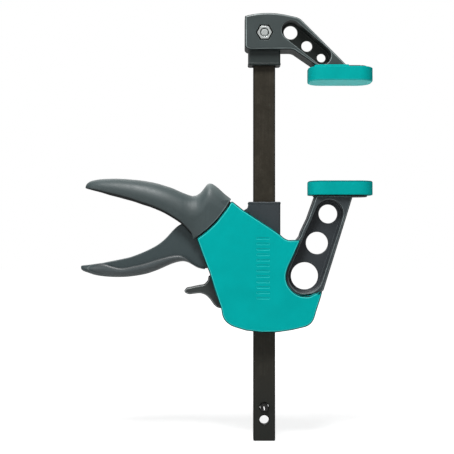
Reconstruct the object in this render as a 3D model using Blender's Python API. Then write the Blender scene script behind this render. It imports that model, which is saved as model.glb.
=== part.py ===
"""One-handed clamp: a flat bar with a fixed jaw, and a body that a trigger drives up the bar.

Metres, +Z up, -Y towards the viewer. The origin is the middle of the fixed pad's clamping face.
The fixed pieces are drawn from the bar's axis at the height of that face, and the body from the
bar's axis at the height of the sliding pad's face. Outlines lie in X and Z unless said otherwise.
"""

import math

import bmesh
import bpy
from mathutils import Vector

# Fits shared by all pieces
GAP = 0.0003
OVERRUN = 0.002
HOLE_STEPS = 32
PIN_STEPS = 20
CORNER_STEPS = 5
SHARP_ANGLE = math.radians(32)

# Where the two jaws stand
JAW_REACH = 0.0484
OPENING = 0.0629

# Bar
BAR_WIDTH = 0.0140
BAR_THICKNESS = 0.0050
BAR_ABOVE_FACE = 0.0405
BAR_BELOW_FACE = 0.2285
BAR_CHAMFER = 0.0004
SPREADER_HOLE_RADIUS = 0.0030
SPREADER_HOLE_FROM_END = 0.0133

# Rolled stop pin above the bar's lower hole
STOP_PIN_RADIUS = 0.0025
STOP_PIN_BORE = 0.0010
STOP_PIN_ABOVE_HOLE = 0.0083
STOP_PIN_STANDS_OUT = 0.0036
STOP_PIN_SLOT = 0.0006

# Head of the fixed jaw
HEAD_HALF_DEPTH = 0.0090
HEAD_LEFT = 0.0124
JAW_LENGTH = 0.0676
JAW_HEIGHT = 0.0432
HEAD_EDGE = 0.0018
HEAD_EDGE_DEPTH = 0.0016
COLLAR_WIDTH = 0.0204
COLLAR_DEPTH = 0.0112
COLLAR_EDGE = 0.0011
HEAD_COLLAR_BOTTOM = 0.0106
WEB_HALF_DEPTH = 0.0015
POCKET_STEP = 0.0005

# Bolt, washer and nut through the head
BOLT_RADIUS = 0.0025
BOLT_HEIGHT = 0.0308
NUT_ACROSS_FLATS = 0.0080
NUT_HEIGHT = 0.0040
NUT_CHAMFER = 0.0005
NUT_SUNK = 0.0002
WASHER_RADIUS = 0.0050
WASHER_HEIGHT = 0.0010
BOLT_HEAD_HEIGHT = 0.0035

# Soft pads and the feet inside them
PAD_LENGTH = 0.0410
PAD_WIDTH = 0.0250
PAD_HEIGHT = 0.0090
PAD_CORNER = 0.0095
PAD_WALL = 0.0022
PAD_FACE = 0.0030
PAD_LIP = 0.0010
PAD_LIP_HEIGHT = 0.0010
PAD_EDGE = 0.0008
PAD_COLLAR_RISE = 0.0011
NECK_OVERLAP = 0.0010

# Body of the sliding jaw, and the covers over it
HOUSING_WIDTH = 0.0787
HOUSING_HEIGHT = 0.0828
HOUSING_TOP = 0.0127
HOUSING_HALF_DEPTH = 0.0135
COVER_FACE = 0.0025
COVER_SKIRT = 0.0020
COVER_EDGE = 0.0007
PARTING_RADIUS = 0.0660
ROOT_LAP = 0.0055
ROOT_MARGIN_DEG = 3
ROOM_TOP_DEG = 7
ROOM_LOW_DEG = 1
BODY_COLLAR_TOP = 0.0132
COLLAR_FLARE = 0.0024
COLLAR_FLARE_HEIGHT = 0.0014
COLLAR_FLARE_DROP = 0.0042
ARM_HALF_DEPTH = 0.0095
RING_WALL = 0.0037
RING_RIM = 0.0016
UPPER_HOLE = 0.0060
MIDDLE_HOLE = 0.0071

# Grip
GRIP_REACH = 0.1140
GRIP_DROP = 0.0376
GRIP_HALF_WIDTH = 0.0132
GRIP_CROWN = 0.0070
GRIP_HEM = 0.0009
CHANNEL_HALF_WIDTH = 0.0085
GRIP_ARCH_SHARE = 0.55
GRIP_HEM_SHARE = 0.2
GRIP_LEAN_SHARE = 1.3

# Trigger
TRIGGER_REACH = 0.1167
TRIGGER_DEPTH = 0.0612
TRIGGER_WEB_HALF_DEPTH = 0.0070
TRIGGER_WEB_EDGE = 0.0008
FLANGE_HALF_WIDTH = 0.0105
FLANGE_HEM = 0.0007
TRIGGER_BOSS = 0.0063
TRIGGER_PIN_RADIUS = 0.0025
NOSE_FROM_BAR = 0.0053
NOSE_DROP = 0.0035
NOSE_RADIUS = 0.0022

# Drive plates and their spring
PLATE_THICKNESS = 0.0025
PLATE_HALF_DEPTH = 0.0070
PLATE_LAND = 0.0040
DRIVE_PLATE_TAIL = 0.0072
PLATE_COUNT = 2
PLATE_PLAY = 0.0004
SPRING_WIRE = 0.0012
SPRING_CLEAR = 0.0004
SPRING_END_GAP = 0.0006
SPRING_POINTS_PER_TURN = 9
SPRING_PITCH = 0.0023
DIVIDER_ABOVE_PIVOT = 0.0051
DIVIDER_THICKNESS = 0.0030
DIVIDER_TAIL = 0.0050

# Release lever, lock plate and its spring
LEVER_REACH = 0.0510
LEVER_DEPTH = 0.0810
LEVER_HALF_DEPTH = 0.0050
LEVER_EDGE = 0.0007
LEVER_PIN_RADIUS = 0.0020
LEVER_NOSE_FROM_BAR = 0.0060
LEVER_NOSE_DROP = 0.0013
LEVER_NOSE_RADIUS = 0.0016
LOCK_TILT_DEG = 7
LOCK_PLATE_TAIL = 0.0075
LOCK_PLATE_PLAY = 0.0006
LEDGE_STANDOFF = 0.0013
FLOOR_THICKNESS = 0.0060
SLOT_BELOW_PIVOT = 0.0117

# Cover bosses, posts and screws
BOSS_WALL = 0.0015
POST_RADIUS = 0.0028
SCREW_RADIUS = 0.0012
SCREW_HEAD_RADIUS = 0.0024
SCREW_HEAD_HEIGHT = 0.0016
SCREW_HEAD_SUNK = 0.0003
SCREW_END_FACE = 0.0020

# Outlines, in shares of the sizes named beside them

# Fixed jaw in JAW_LENGTH and JAW_HEIGHT, from the head's left side and the pad's face
JAW_SHARES = (
    (0.000, 0.505), (0.000, 0.954), (0.030, 0.968), (0.084, 0.984), (0.141, 0.995),
    (0.214, 1.000), (0.288, 0.995), (0.371, 0.977), (0.439, 0.954), (0.496, 0.931),
    (0.521, 0.910), (0.544, 0.875), (0.966, 0.2155), (0.676, 0.2155), (0.635, 0.262),
    (0.469, 0.440), (0.441, 0.458), (0.398, 0.463), (0.061, 0.458), (0.018, 0.477),
)
JAW_HOLE_SHARES = ((0.433, 0.745, 0.0651), (0.587, 0.543, 0.0518), (0.723, 0.370, 0.0414))
JAW_RECESS_SHARES = (0.0905, 0.0830)
PAD_COLLAR_SHARES = (0.6185, 0.966)

# Covers in HOUSING_WIDTH and HOUSING_HEIGHT, from the bar's axis and the housing's top
ROOT_HIGH_SHARES = (-0.267, 0.000)
ROOT_LOW_SHARES = (-0.543, -0.290)
COVER_TOP_SHARES = (
    (-0.180, -0.065), (-0.159, -0.079), (0.108, -0.246), (0.160, -0.287), (0.203, -0.301),
    (0.285, -0.298), (0.234, -0.409), (0.193, -0.492),
)
COVER_LOW_SHARES = (
    (0.385, -0.710), (0.457, -0.690), (0.445, -0.739), (0.410, -0.839), (0.388, -0.906), (0.372, -0.928),
    (0.346, -0.948), (0.280, -0.967), (0.213, -0.982), (0.147, -0.992), (0.081, -0.999),
    (-0.020, -1.000), (-0.150, -0.985), (-0.238, -0.960), (-0.288, -0.936), (-0.323, -0.903),
    (-0.341, -0.862), (-0.348, -0.821), (-0.375, -0.748), (-0.443, -0.542), (-0.461, -0.501),
    (-0.512, -0.370),
)
RING_SHARES = (0.328, -0.576)
RING_RADIUS_SHARE = 0.1576
TRIGGER_PIVOT_SHARES = (-0.3088, -0.2838)
LEVER_PIVOT_SHARES = (-0.3418, -0.7017)
RING_BITE_DEG = (166, 282)
POST_SHARES = ((-0.222, -0.143), (0.203, -0.368), (0.260, -0.837))
RIM_UNDER_SLOT_SHARES = (-0.222, -0.978)

# Arm of the sliding jaw in JAW_REACH and the arm's length, from the bar's axis and the foot's top
ARM_SHARES = (
    (0.672, 0.000), (1.155, 0.000), (0.768, -0.993), (0.690, -1.025), (0.500, -1.045), (0.245, -1.045),
    (0.245, -0.580), (0.400, -0.480), (0.462, -0.426), (0.484, -0.374), (0.566, -0.236),
)
ARM_UPPER_SHARES = (0.843, -0.190)
ARM_MIDDLE_SHARES = (0.698, -0.497)
ARM_RECESS_SHARE = 0.184
ARM_RING_SHARES = (0.5333, -0.8430)

# Grip in GRIP_REACH, GRIP_DROP, GRIP_DROP and GRIP_HALF_WIDTH: place, top, bottom, half width
GRIP_SHARES = (
    (1.000, -0.085, -0.112, 0.17), (0.985, -0.021, -0.133, 0.39), (0.963, 0.010, -0.152, 0.52),
    (0.918, 0.035, -0.186, 0.64), (0.873, 0.043, -0.229, 0.71), (0.828, 0.045, -0.263, 0.77),
    (0.783, 0.040, -0.301, 0.82), (0.739, 0.029, -0.338, 0.86), (0.693, 0.016, -0.386, 0.90),
    (0.648, -0.006, -0.428, 0.94), (0.604, -0.033, -0.479, 0.97), (0.559, -0.072, -0.540, 0.99),
    (0.514, -0.118, -0.617, 1.00), (0.468, -0.178, -0.707, 1.00), (0.446, -0.205, -0.772, 0.99),
    (0.424, -0.232, -0.840, 0.98), (0.402, -0.249, -0.918, 0.98), (0.379, -0.239, -1.197, 0.97),
    (0.356, -0.191, -1.197, 0.96), (0.334, -0.112, -1.197, 0.96), (0.320, -0.055, -1.197, 0.95),
    (0.304, -0.035, -1.197, 0.95), (0.285, -0.053, -1.197, 0.94), (0.255, -0.120, -1.197, 0.93),
    (0.222, -0.213, -1.197, 0.92), (0.188, -0.296, -1.197, 0.91), (0.145, -0.400, -1.197, 0.90),
)
# Hollow under the grip in GRIP_REACH and GRIP_DROP: place, roof
CHANNEL_SHARES = (
    (0.900, -0.100), (0.851, -0.072), (0.739, -0.085), (0.648, -0.122), (0.559, -0.189),
    (0.514, -0.234), (0.468, -0.293), (0.424, -0.351), (0.379, -0.386), (0.333, -0.426),
    (0.289, -0.492), (0.246, -0.585), (0.211, -0.691), (0.190, -0.780),
)
CHANNEL_BOTTOM_SHARE = -1.30
CHANNEL_NARROW_SHARES = (0.60, 0.80, 0.94)

# Trigger's web in TRIGGER_REACH and TRIGGER_DEPTH, over its top and back under it
TRIGGER_BORE_SHARES = (0.2082, -0.5915)
TRIGGER_TOP_SHARES = (
    (0.934, -0.886), (0.925, -0.868), (0.863, -0.843), (0.802, -0.820), (0.742, -0.796), (0.702, -0.771),
    (0.662, -0.742), (0.621, -0.706), (0.581, -0.663), (0.555, -0.628), (0.533, -0.588),
    (0.513, -0.547), (0.493, -0.505), (0.470, -0.467), (0.452, -0.446),
)
TRIGGER_LOW_SHARES = (
    (0.150, -0.668), (0.184, -0.742), (0.257, -0.858), (0.317, -0.907), (0.360, -0.890),
    (0.390, -0.860), (0.416, -0.827), (0.441, -0.809), (0.496, -0.815), (0.560, -0.858),
    (0.655, -0.915), (0.771, -0.956), (0.891, -0.940), (0.930, -0.925),
)
# Trigger's finger flange in TRIGGER_REACH, TRIGGER_DEPTH, TRIGGER_DEPTH and FLANGE_HALF_WIDTH
FLANGE_SHARES = (
    (1.000, -0.882, -0.920, 0.30), (0.985, -0.879, -0.935, 0.46), (0.960, -0.873, -0.957, 0.61),
    (0.929, -0.865, -0.977, 0.74), (0.891, -0.857, -0.990, 0.84), (0.857, -0.862, -0.997, 0.90),
    (0.823, -0.882, -1.000, 0.93), (0.778, -0.898, -1.000, 0.96), (0.728, -0.885, -0.993, 0.98),
    (0.655, -0.853, -0.970, 1.00), (0.600, -0.820, -0.938, 1.00), (0.560, -0.797, -0.907, 1.00),
    (0.523, -0.779, -0.874, 1.00), (0.496, -0.770, -0.855, 1.00), (0.467, -0.766, -0.840, 1.00),
    (0.441, -0.776, -0.835, 1.00), (0.416, -0.805, -0.846, 0.99), (0.390, -0.848, -0.872, 0.97),
    (0.360, -0.881, -0.904, 0.93), (0.326, -0.899, -0.918, 0.81),
)

# Release lever in LEVER_REACH and LEVER_DEPTH
LEVER_BORE_SHARES = (0.5275, -0.8741)
LEVER_SHARES = (
    (0.655, -0.742), (0.698, -0.746), (0.704, -0.779), (0.749, -0.811), (0.831, -0.821),
    (0.922, -0.833), (0.972, -0.840), (1.000, -0.859), (0.988, -0.877), (0.941, -0.889),
    (0.867, -0.884), (0.794, -0.880), (0.739, -0.893), (0.684, -0.922), (0.629, -0.969),
    (0.592, -0.990), (0.549, -1.000), (0.500, -0.981), (0.471, -0.938), (0.392, -0.912),
)
LEVER_TOP_SHARES = ((0.392, -0.826), (0.480, -0.802), (0.580, -0.765))


# Outlines


def moved(points, origin):
    """The same points seen from another origin."""
    return [(x - origin[0], z - origin[1]) for x, z in points]


def about(shares, bore, width, height):
    """Points of a lever's outline about its bore, from shares that count leftwards from the bar's axis."""
    return [((bore[0] - across) * width, (up - bore[1]) * height) for across, up in shares]


def arc(centre, radius, start_deg, end_deg, steps):
    """Points along a circle, both ends included."""
    points = []
    for step in range(steps + 1):
        angle = math.radians(start_deg + (end_deg - start_deg) * step / steps)
        points.append((centre[0] + radius * math.cos(angle), centre[1] + radius * math.sin(angle)))
    return points


def circle(centre, radius, steps):
    """A closed round outline."""
    return arc(centre, radius, 0, 360, steps)[:-1]


def hexagon(centre, across_flats):
    """A six-sided outline with a corner at each side and flats above and below."""
    return circle(centre, across_flats / math.sqrt(3), 6)


def rounded_rectangle(length, width, corner, steps):
    """A rectangle about the origin with round corners."""
    corner = min(corner, length / 2, width / 2)
    across, up = length / 2 - corner, width / 2 - corner
    points = []
    for turn, (x, y) in enumerate(((across, up), (-across, up), (-across, -up), (across, -up))):
        points += arc((x, y), corner, 90 * turn, 90 * turn + 90, steps)
    return points


def link(first, first_radius, second, second_radius, steps):
    """Outline of two circles and the straight tangents that join them."""
    along = Vector(second) - Vector(first)
    heading = math.degrees(math.atan2(along.y, along.x))
    lean = math.degrees(math.acos((first_radius - second_radius) / along.length))
    points = arc(first, first_radius, heading + lean, heading + 360 - lean, steps)
    points += arc(second, second_radius, heading - lean, heading + lean, steps)
    return points


def centre_between(start, end, radius):
    """Centre of the circle through two points that bulges to the right of start to end."""
    start, end = Vector(start), Vector(end)
    half = (end - start) / 2
    away = Vector((-half.y, half.x)).normalized()
    return tuple(start + half + away * math.sqrt(radius ** 2 - half.length_squared))


def signed_area(points):
    """Area of an outline, positive where it runs counter-clockwise."""
    doubled = 0
    for (ax, az), (bx, bz) in zip(points, points[1:] + points[:1]):
        doubled += ax * bz - bx * az
    return doubled / 2


def inset(points, distance):
    """The outline drawn in by a distance, each corner along its own mitre; below zero it grows."""
    turn = math.copysign(1, signed_area(points))
    drawn = []
    for before, here, after in zip(points[-1:] + points[:-1], points, points[1:] + points[:1]):
        arriving = (Vector(here) - Vector(before)).normalized()
        leaving = (Vector(after) - Vector(here)).normalized()
        first = Vector((-arriving.y, arriving.x)) * turn
        second = Vector((-leaving.y, leaving.x)) * turn
        mitre = (first + second) / (1 + first.dot(second))
        drawn.append(tuple(Vector(here) + mitre * distance))
    return drawn


def crossing(first, second, third, fourth):
    """Where the stretch from first to second crosses that from third to fourth, or None."""
    along, across = Vector(second) - Vector(first), Vector(fourth) - Vector(third)
    start = Vector(third) - Vector(first)
    turn = along.cross(across)
    if not turn:
        return None
    share, other = start.cross(across) / turn, start.cross(along) / turn
    return tuple(Vector(first) + along * share) if 0 < share < 1 and 0 < other < 1 else None


def untangled(points):
    """The outline without the small loops where it crosses itself."""
    count = len(points)
    for low in range(count - 2):
        for high in range(low + 2, count - (low == 0)):
            meeting = crossing(points[low], points[low + 1], points[high], points[(high + 1) % count])
            if meeting:
                outer = points[:low + 1] + [meeting] + points[high + 1:]
                inner = [meeting] + points[low + 1:high + 1]
                loops = [outer, inner]
                return untangled(max(loops, key=lambda loop: abs(signed_area(loop))))
    return points


# Solids


def clear_scene():
    """Remove whatever the scene holds."""
    for item in list(bpy.data.objects):
        bpy.data.objects.remove(item, do_unlink=True)


def axis_point(name, parent, location):
    """An empty that carries pieces, placed on a joint's axis or at a datum."""
    point = bpy.data.objects.new(name, None)
    point.parent = parent
    point.location = location
    bpy.context.collection.objects.link(point)
    return point


def solid(name, rings, parent):
    """A closed solid through rings of equal count, with flat ends."""
    mesh = bpy.data.meshes.new(name)
    shape = bmesh.new()
    loops = [[shape.verts.new(point) for point in ring] for ring in rings]
    for low, high in zip(loops, loops[1:]):
        for index in range(len(low)):
            following = (index + 1) % len(low)
            shape.faces.new((low[index], low[following], high[following], high[index]))
    shape.faces.new(loops[0])
    shape.faces.new(loops[-1])
    bmesh.ops.recalc_face_normals(shape, faces=shape.faces)
    shape.to_mesh(mesh)
    shape.free()
    mesh.shade_smooth()
    mesh.set_sharp_from_angle(angle=SHARP_ANGLE)
    item = bpy.data.objects.new(name, mesh)
    item.parent = parent
    bpy.context.collection.objects.link(item)
    return item


def slab(name, outline, levels, parent):
    """A solid with an outline in X and Z; each level is its Y and how far its edge is drawn in."""
    rings = [[(x, y, z) for x, z in inset(outline, drawn)] for y, drawn in levels]
    return solid(name, rings, parent)


def plate(name, outline, levels, parent, centre=(0, 0)):
    """A solid with an outline in X and Y; each level is its Z and how far its edge is drawn in."""
    rings = [[(centre[0] + x, centre[1] + y, z) for x, y in inset(outline, drawn)] for z, drawn in levels]
    return solid(name, rings, parent)


def block(name, low, high, parent, edge=0):
    """A box between two corners, its edges bevelled."""
    outline = [(low[0], low[1]), (high[0], low[1]), (high[0], high[1]), (low[0], high[1])]
    item = plate(name, outline, [(low[2], 0), (high[2], 0)], parent)
    if edge:
        shape = bmesh.new()
        shape.from_mesh(item.data)
        bmesh.ops.bevel(shape, geom=shape.edges[:], offset=edge, segments=2, profile=0.5, affect="EDGES")
        shape.to_mesh(item.data)
        shape.free()
    return item


def rod(name, centre, radius, y_low, y_high, parent, steps=HOLE_STEPS, edge=0):
    """A round bar along Y."""
    levels = [(y_low, edge), (y_low + edge, 0), (y_high - edge, 0), (y_high, edge)]
    if not edge:
        levels = [(y_low, 0), (y_high, 0)]
    return slab(name, circle(centre, radius, steps), levels, parent)


def as_tool(item):
    """Mark a solid as one that only shapes another."""
    item.hide_render = True
    item.display_type = "WIRE"
    return item


def combine(target, tool, operation):
    """Let a tool shape a target, as a live modifier."""
    modifier = target.modifiers.new(tool.name, "BOOLEAN")
    modifier.operation = operation
    modifier.object = as_tool(tool)


def cut(target, *tools):
    """Cut tools out of a target."""
    for tool in tools:
        combine(target, tool, "DIFFERENCE")


def join(target, *tools):
    """Fuse tools to a target."""
    for tool in tools:
        combine(target, tool, "UNION")


def keep_inside(target, tool):
    """Keep what a target and a tool share."""
    combine(target, tool, "INTERSECT")


def finish(item, colour, roughness, metallic):
    """Give a piece its own material."""
    material = bpy.data.materials.new(item.name)
    material.use_nodes = True
    shader = material.node_tree.nodes["Principled BSDF"]
    shader.inputs["Base Color"].default_value = (*colour, 1)
    shader.inputs["Roughness"].default_value = roughness
    shader.inputs["Metallic"].default_value = metallic
    material.diffuse_color = (*colour, 1)
    item.data.materials.append(material)
    return item


def grey_nylon(item):
    """Dark grey moulded plastic of the jaws, grip and levers."""
    return finish(item, (0.062, 0.078, 0.080), 0.48, 0)


def teal_shell(item):
    """Teal moulded plastic of the covers."""
    return finish(item, (0.001, 0.386, 0.376), 0.42, 0)


def teal_pad(item):
    """Softer teal of the pads."""
    return finish(item, (0.001, 0.381, 0.364), 0.58, 0)


def browned_steel(item):
    """Dark browned steel of the bar."""
    return finish(item, (0.040, 0.036, 0.029), 0.45, 0.8)


def black_steel(item):
    """Blackened steel of the stop pin and plates."""
    return finish(item, (0.030, 0.030, 0.032), 0.40, 0.9)


def zinc_steel(item):
    """Bright zinc-plated steel of the bolt, nut, washer, pins and screws."""
    return finish(item, (0.640, 0.650, 0.660), 0.30, 1)


def spring_steel(item):
    """Plain spring wire."""
    return finish(item, (0.380, 0.380, 0.390), 0.32, 1)


# Places that several pieces share


def housing_point(shares):
    """A point of the housing from its shares."""
    return (shares[0] * HOUSING_WIDTH, shares[1] * HOUSING_HEIGHT - HOUSING_TOP)


def parting_centre():
    """Centre of the parting line between grip and covers."""
    return centre_between(housing_point(ROOT_LOW_SHARES), housing_point(ROOT_HIGH_SHARES), PARTING_RADIUS)


def parting_angles():
    """Angles of the parting line's lower and upper ends about its centre."""
    centre = parting_centre()
    ends = (housing_point(ROOT_LOW_SHARES), housing_point(ROOT_HIGH_SHARES))
    return [math.degrees(math.atan2(end[1] - centre[1], end[0] - centre[0])) for end in ends]


def ring_centre():
    """Centre of the ring at the lower end of the sliding jaw's arm."""
    return housing_point(RING_SHARES)


def ring_radius():
    """Outer radius of that ring."""
    return RING_RADIUS_SHARE * HOUSING_WIDTH


def cover_outline():
    """The covers' outline, clockwise from the top corner beside the grip."""
    low, high = parting_angles()
    outline = [housing_point(point) for point in COVER_TOP_SHARES]
    outline += arc(ring_centre(), ring_radius(), *RING_BITE_DEG, HOLE_STEPS // 2)
    outline += [housing_point(point) for point in COVER_LOW_SHARES]
    outline += arc(parting_centre(), PARTING_RADIUS, low, high, HOLE_STEPS // 4)
    return outline


def arm_point(shares):
    """A point of the sliding jaw's arm from its shares; the arm leans so that it ends in its ring."""
    ring, top = ring_centre(), -PAD_HEIGHT - GAP
    down = shares[1] / ARM_RING_SHARES[1]
    lean = (ring[0] - ARM_RING_SHARES[0] * JAW_REACH) * down
    return (shares[0] * JAW_REACH + lean, top + (ring[1] - top) * down)


def arm_outline():
    """The arm's outline, its lower part under the covers."""
    return [arm_point(point) for point in ARM_SHARES]


def collar_corners(top, bottom):
    """Two corners of a collar round the bar."""
    return (-COLLAR_WIDTH / 2, -COLLAR_DEPTH / 2, bottom), (COLLAR_WIDTH / 2, COLLAR_DEPTH / 2, top)


def trigger_pivot():
    """The trigger's axis."""
    return housing_point(TRIGGER_PIVOT_SHARES)


def nose_centre():
    """Centre of the round nose that pushes the drive plates."""
    return (-BAR_WIDTH / 2 - NOSE_FROM_BAR, trigger_pivot()[1] - NOSE_DROP)


def lever_pivot():
    """The release lever's axis."""
    return housing_point(LEVER_PIVOT_SHARES)


def lever_nose_centre():
    """Centre of the round nose that levels the lock plate."""
    return (-BAR_WIDTH / 2 - LEVER_NOSE_FROM_BAR, lever_pivot()[1] - LEVER_NOSE_DROP)


def drive_plate_top(index):
    """Height of a drive plate's upper face."""
    return nose_centre()[1] - NOSE_RADIUS - GAP - index * (PLATE_THICKNESS + GAP)


def drive_stack_bottom():
    """Height of the lowest drive plate's lower face."""
    return drive_plate_top(PLATE_COUNT - 1) - PLATE_THICKNESS


def divider_top():
    """Height of the divider that the drive spring stands on."""
    return lever_pivot()[1] + DIVIDER_ABOVE_PIVOT


def body_floor():
    """Height of the floor under the lock spring."""
    return FLOOR_THICKNESS - HOUSING_TOP - HOUSING_HEIGHT


def slot_bottom():
    """Height of the lower edge of the release lever's slot."""
    return lever_pivot()[1] - SLOT_BELOW_PIVOT


def post_centres():
    """Centres of the screw posts, the last midway between the lever's slot and the rim under it."""
    across, rim = housing_point(RIM_UNDER_SLOT_SHARES)
    return [housing_point(shares) for shares in POST_SHARES] + [(across, (slot_bottom() + rim) / 2)]


def plate_right():
    """Right end of every plate."""
    return BAR_WIDTH / 2 + PLATE_LAND


def lock_fulcrum():
    """Edge of the ledge about which the lock plate tips, at the plate's upper face."""
    across = BAR_WIDTH / 2 + LEDGE_STANDOFF
    nose = lever_nose_centre()
    rise = (across - nose[0]) * math.sin(math.radians(LOCK_TILT_DEG))
    return (across, nose[1] - LEVER_NOSE_RADIUS - GAP - rise)


def spring_radius():
    """Radius of the spring wire's centre line, clear of the bar's corners."""
    return math.hypot(BAR_WIDTH / 2, BAR_THICKNESS / 2) + SPRING_CLEAR + SPRING_WIRE / 2


def bar_passage(name, low, high, parent):
    """The hole that the bar slides through."""
    across, deep = BAR_WIDTH / 2 + GAP, BAR_THICKNESS / 2 + GAP
    return block(name, (-across, -deep, low), (across, deep, high), parent)


# Bar and its stop pin


def spreader_hole_height():
    """Height of the hole near the bar's lower end."""
    return SPREADER_HOLE_FROM_END - BAR_BELOW_FACE


def make_bar(parent):
    """The flat steel bar with its three cross holes."""
    deep = BAR_THICKNESS / 2
    outline = [(-BAR_WIDTH / 2, -BAR_BELOW_FACE), (BAR_WIDTH / 2, -BAR_BELOW_FACE)]
    outline += [(BAR_WIDTH / 2, BAR_ABOVE_FACE), (-BAR_WIDTH / 2, BAR_ABOVE_FACE)]
    levels = [(-deep, BAR_CHAMFER), (BAR_CHAMFER - deep, 0), (deep - BAR_CHAMFER, 0), (deep, BAR_CHAMFER)]
    bar = slab("bar", outline, levels, parent)
    hole = spreader_hole_height()
    cut(
        bar,
        rod("bar_end_hole", (0, hole), SPREADER_HOLE_RADIUS, -deep - OVERRUN, deep + OVERRUN, parent),
        rod("bar_pin_hole", (0, hole + STOP_PIN_ABOVE_HOLE), STOP_PIN_RADIUS + GAP,
            -deep - OVERRUN, deep + OVERRUN, parent, PIN_STEPS),
        rod("bar_bolt_hole", (0, BOLT_HEIGHT), BOLT_RADIUS + GAP,
            -deep - OVERRUN, deep + OVERRUN, parent, PIN_STEPS),
    )
    return browned_steel(bar)


def make_stop_pin(parent):
    """A rolled pin, open along one side, that stops the body above the bar's end."""
    centre = (0, spreader_hole_height() + STOP_PIN_ABOVE_HOLE)
    half_gap = math.degrees(math.asin(STOP_PIN_SLOT / 2 / STOP_PIN_BORE))
    outline = arc(centre, STOP_PIN_RADIUS, half_gap - 90, 270 - half_gap, PIN_STEPS)
    outline += arc(centre, STOP_PIN_BORE, 270 - half_gap, half_gap - 90, PIN_STEPS)
    reach = BAR_THICKNESS / 2 + STOP_PIN_STANDS_OUT
    return black_steel(slab("bar_stop_pin", outline, [(-reach, 0), (reach, 0)], parent))


# Fixed jaw


def jaw_point(shares):
    """A point of the fixed jaw from its shares."""
    return (shares[0] * JAW_LENGTH - HEAD_LEFT, shares[1] * JAW_HEIGHT)


def crowned(half_depth, edge, edge_depth):
    """Levels of a slab with rounded front and back edges."""
    side = half_depth - edge_depth
    near = half_depth - edge_depth * (1 - math.cos(math.radians(60)))
    soft = edge * (1 - math.sin(math.radians(60)))
    return [(-half_depth, edge), (-near, soft), (-side, 0), (side, 0), (near, soft), (half_depth, edge)]


def make_fixed_jaw(parent):
    """The moulded head with its collar, cranked arm, web, lightening holes and foot."""
    outline = [jaw_point(point) for point in JAW_SHARES]
    jaw = slab("fixed_jaw", outline, crowned(HEAD_HALF_DEPTH, HEAD_EDGE, HEAD_EDGE_DEPTH), parent)
    low, high = collar_corners(JAW_HEIGHT / 2, HEAD_COLLAR_BOTTOM)
    join(jaw, block("jaw_collar", low, high, parent, COLLAR_EDGE))
    join(jaw, make_foot("jaw_foot", parent, 1))
    holes = [(jaw_point(shares[:2]), shares[2] * JAW_LENGTH) for shares in JAW_HOLE_SHARES]
    first, last = holes[0][0], holes[-1][0]
    radii = [share * JAW_LENGTH for share in JAW_RECESS_SHARES]
    for side, name in ((-1, "jaw_recess_front"), (1, "jaw_recess_back")):
        recess = link(first, radii[0], last, radii[1], HOLE_STEPS // 2)
        cut(jaw, recess_tool(name, recess, side, HEAD_HALF_DEPTH, parent))
    reach = HEAD_HALF_DEPTH + OVERRUN
    for number, (centre, radius) in enumerate(holes):
        cut(jaw, rod(f"jaw_hole_{number}", centre, radius, -reach, reach, parent))
    centre = (0, BOLT_HEIGHT)
    nut_floor = nut_front() + NUT_HEIGHT + GAP
    washer_floor = washer_seat() - GAP
    cut(
        jaw,
        bar_passage("jaw_bar_passage", HEAD_COLLAR_BOTTOM - OVERRUN, BAR_ABOVE_FACE + GAP, parent),
        rod("jaw_bolt_hole", centre, BOLT_RADIUS + GAP, -reach, reach, parent, PIN_STEPS),
        slab("jaw_nut_pocket", hexagon(centre, NUT_ACROSS_FLATS + GAP + GAP),
             [(-reach, 0), (nut_floor, 0)], parent),
        rod("jaw_washer_pocket", centre, WASHER_RADIUS + GAP, washer_floor, reach, parent),
    )
    return grey_nylon(jaw)


def recess_tool(name, outline, side, half_depth, parent):
    """A pocket sunk from one side down to the arm's web, with a small draft."""
    outer, floor = side * (half_depth + OVERRUN), side * WEB_HALF_DEPTH
    levels = sorted([(outer, 0), (floor, POCKET_STEP)])
    return slab(name, outline, levels, parent)


def make_foot(name, parent, up):
    """The flat foot inside a pad and its neck; up is 1 below the arm and -1 above it."""
    deep = PAD_WALL + GAP
    foot = rounded_rectangle(PAD_LENGTH - deep * 2, PAD_WIDTH - deep * 2, PAD_CORNER - deep, CORNER_STEPS)
    neck = inset(foot, PAD_LIP)
    base = PAD_FACE + GAP
    shoulder = PAD_HEIGHT - PAD_LIP_HEIGHT - GAP
    top = PAD_HEIGHT + GAP
    rings = []
    for height, outline in ((base, foot), (shoulder, foot), (shoulder, neck), (top + NECK_OVERLAP / 2, neck)):
        rings.append([(JAW_REACH + x, y, up * height) for x, y in outline])
    return solid(name, rings, parent)


def nut_front():
    """Depth of the nut's front face."""
    return NUT_SUNK - HEAD_HALF_DEPTH


def washer_seat():
    """Depth of the washer's inner face, as far behind the bar as the nut is before it."""
    return -(nut_front() + NUT_HEIGHT)


def make_jaw_bolt(parent):
    """Bolt through head and bar, its hexagon head at the back."""
    centre = (0, BOLT_HEIGHT)
    head_base = washer_seat() + WASHER_HEIGHT + GAP
    bolt = rod("jaw_bolt", centre, BOLT_RADIUS, nut_front() - NUT_SUNK / 2, head_base + NUT_CHAMFER,
               parent, PIN_STEPS, BAR_CHAMFER)
    top = head_base + BOLT_HEAD_HEIGHT
    levels = [(head_base, 0), (top - NUT_CHAMFER, 0), (top, NUT_CHAMFER)]
    join(bolt, slab("jaw_bolt_head", hexagon(centre, NUT_ACROSS_FLATS), levels, parent))
    return zinc_steel(bolt)


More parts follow.
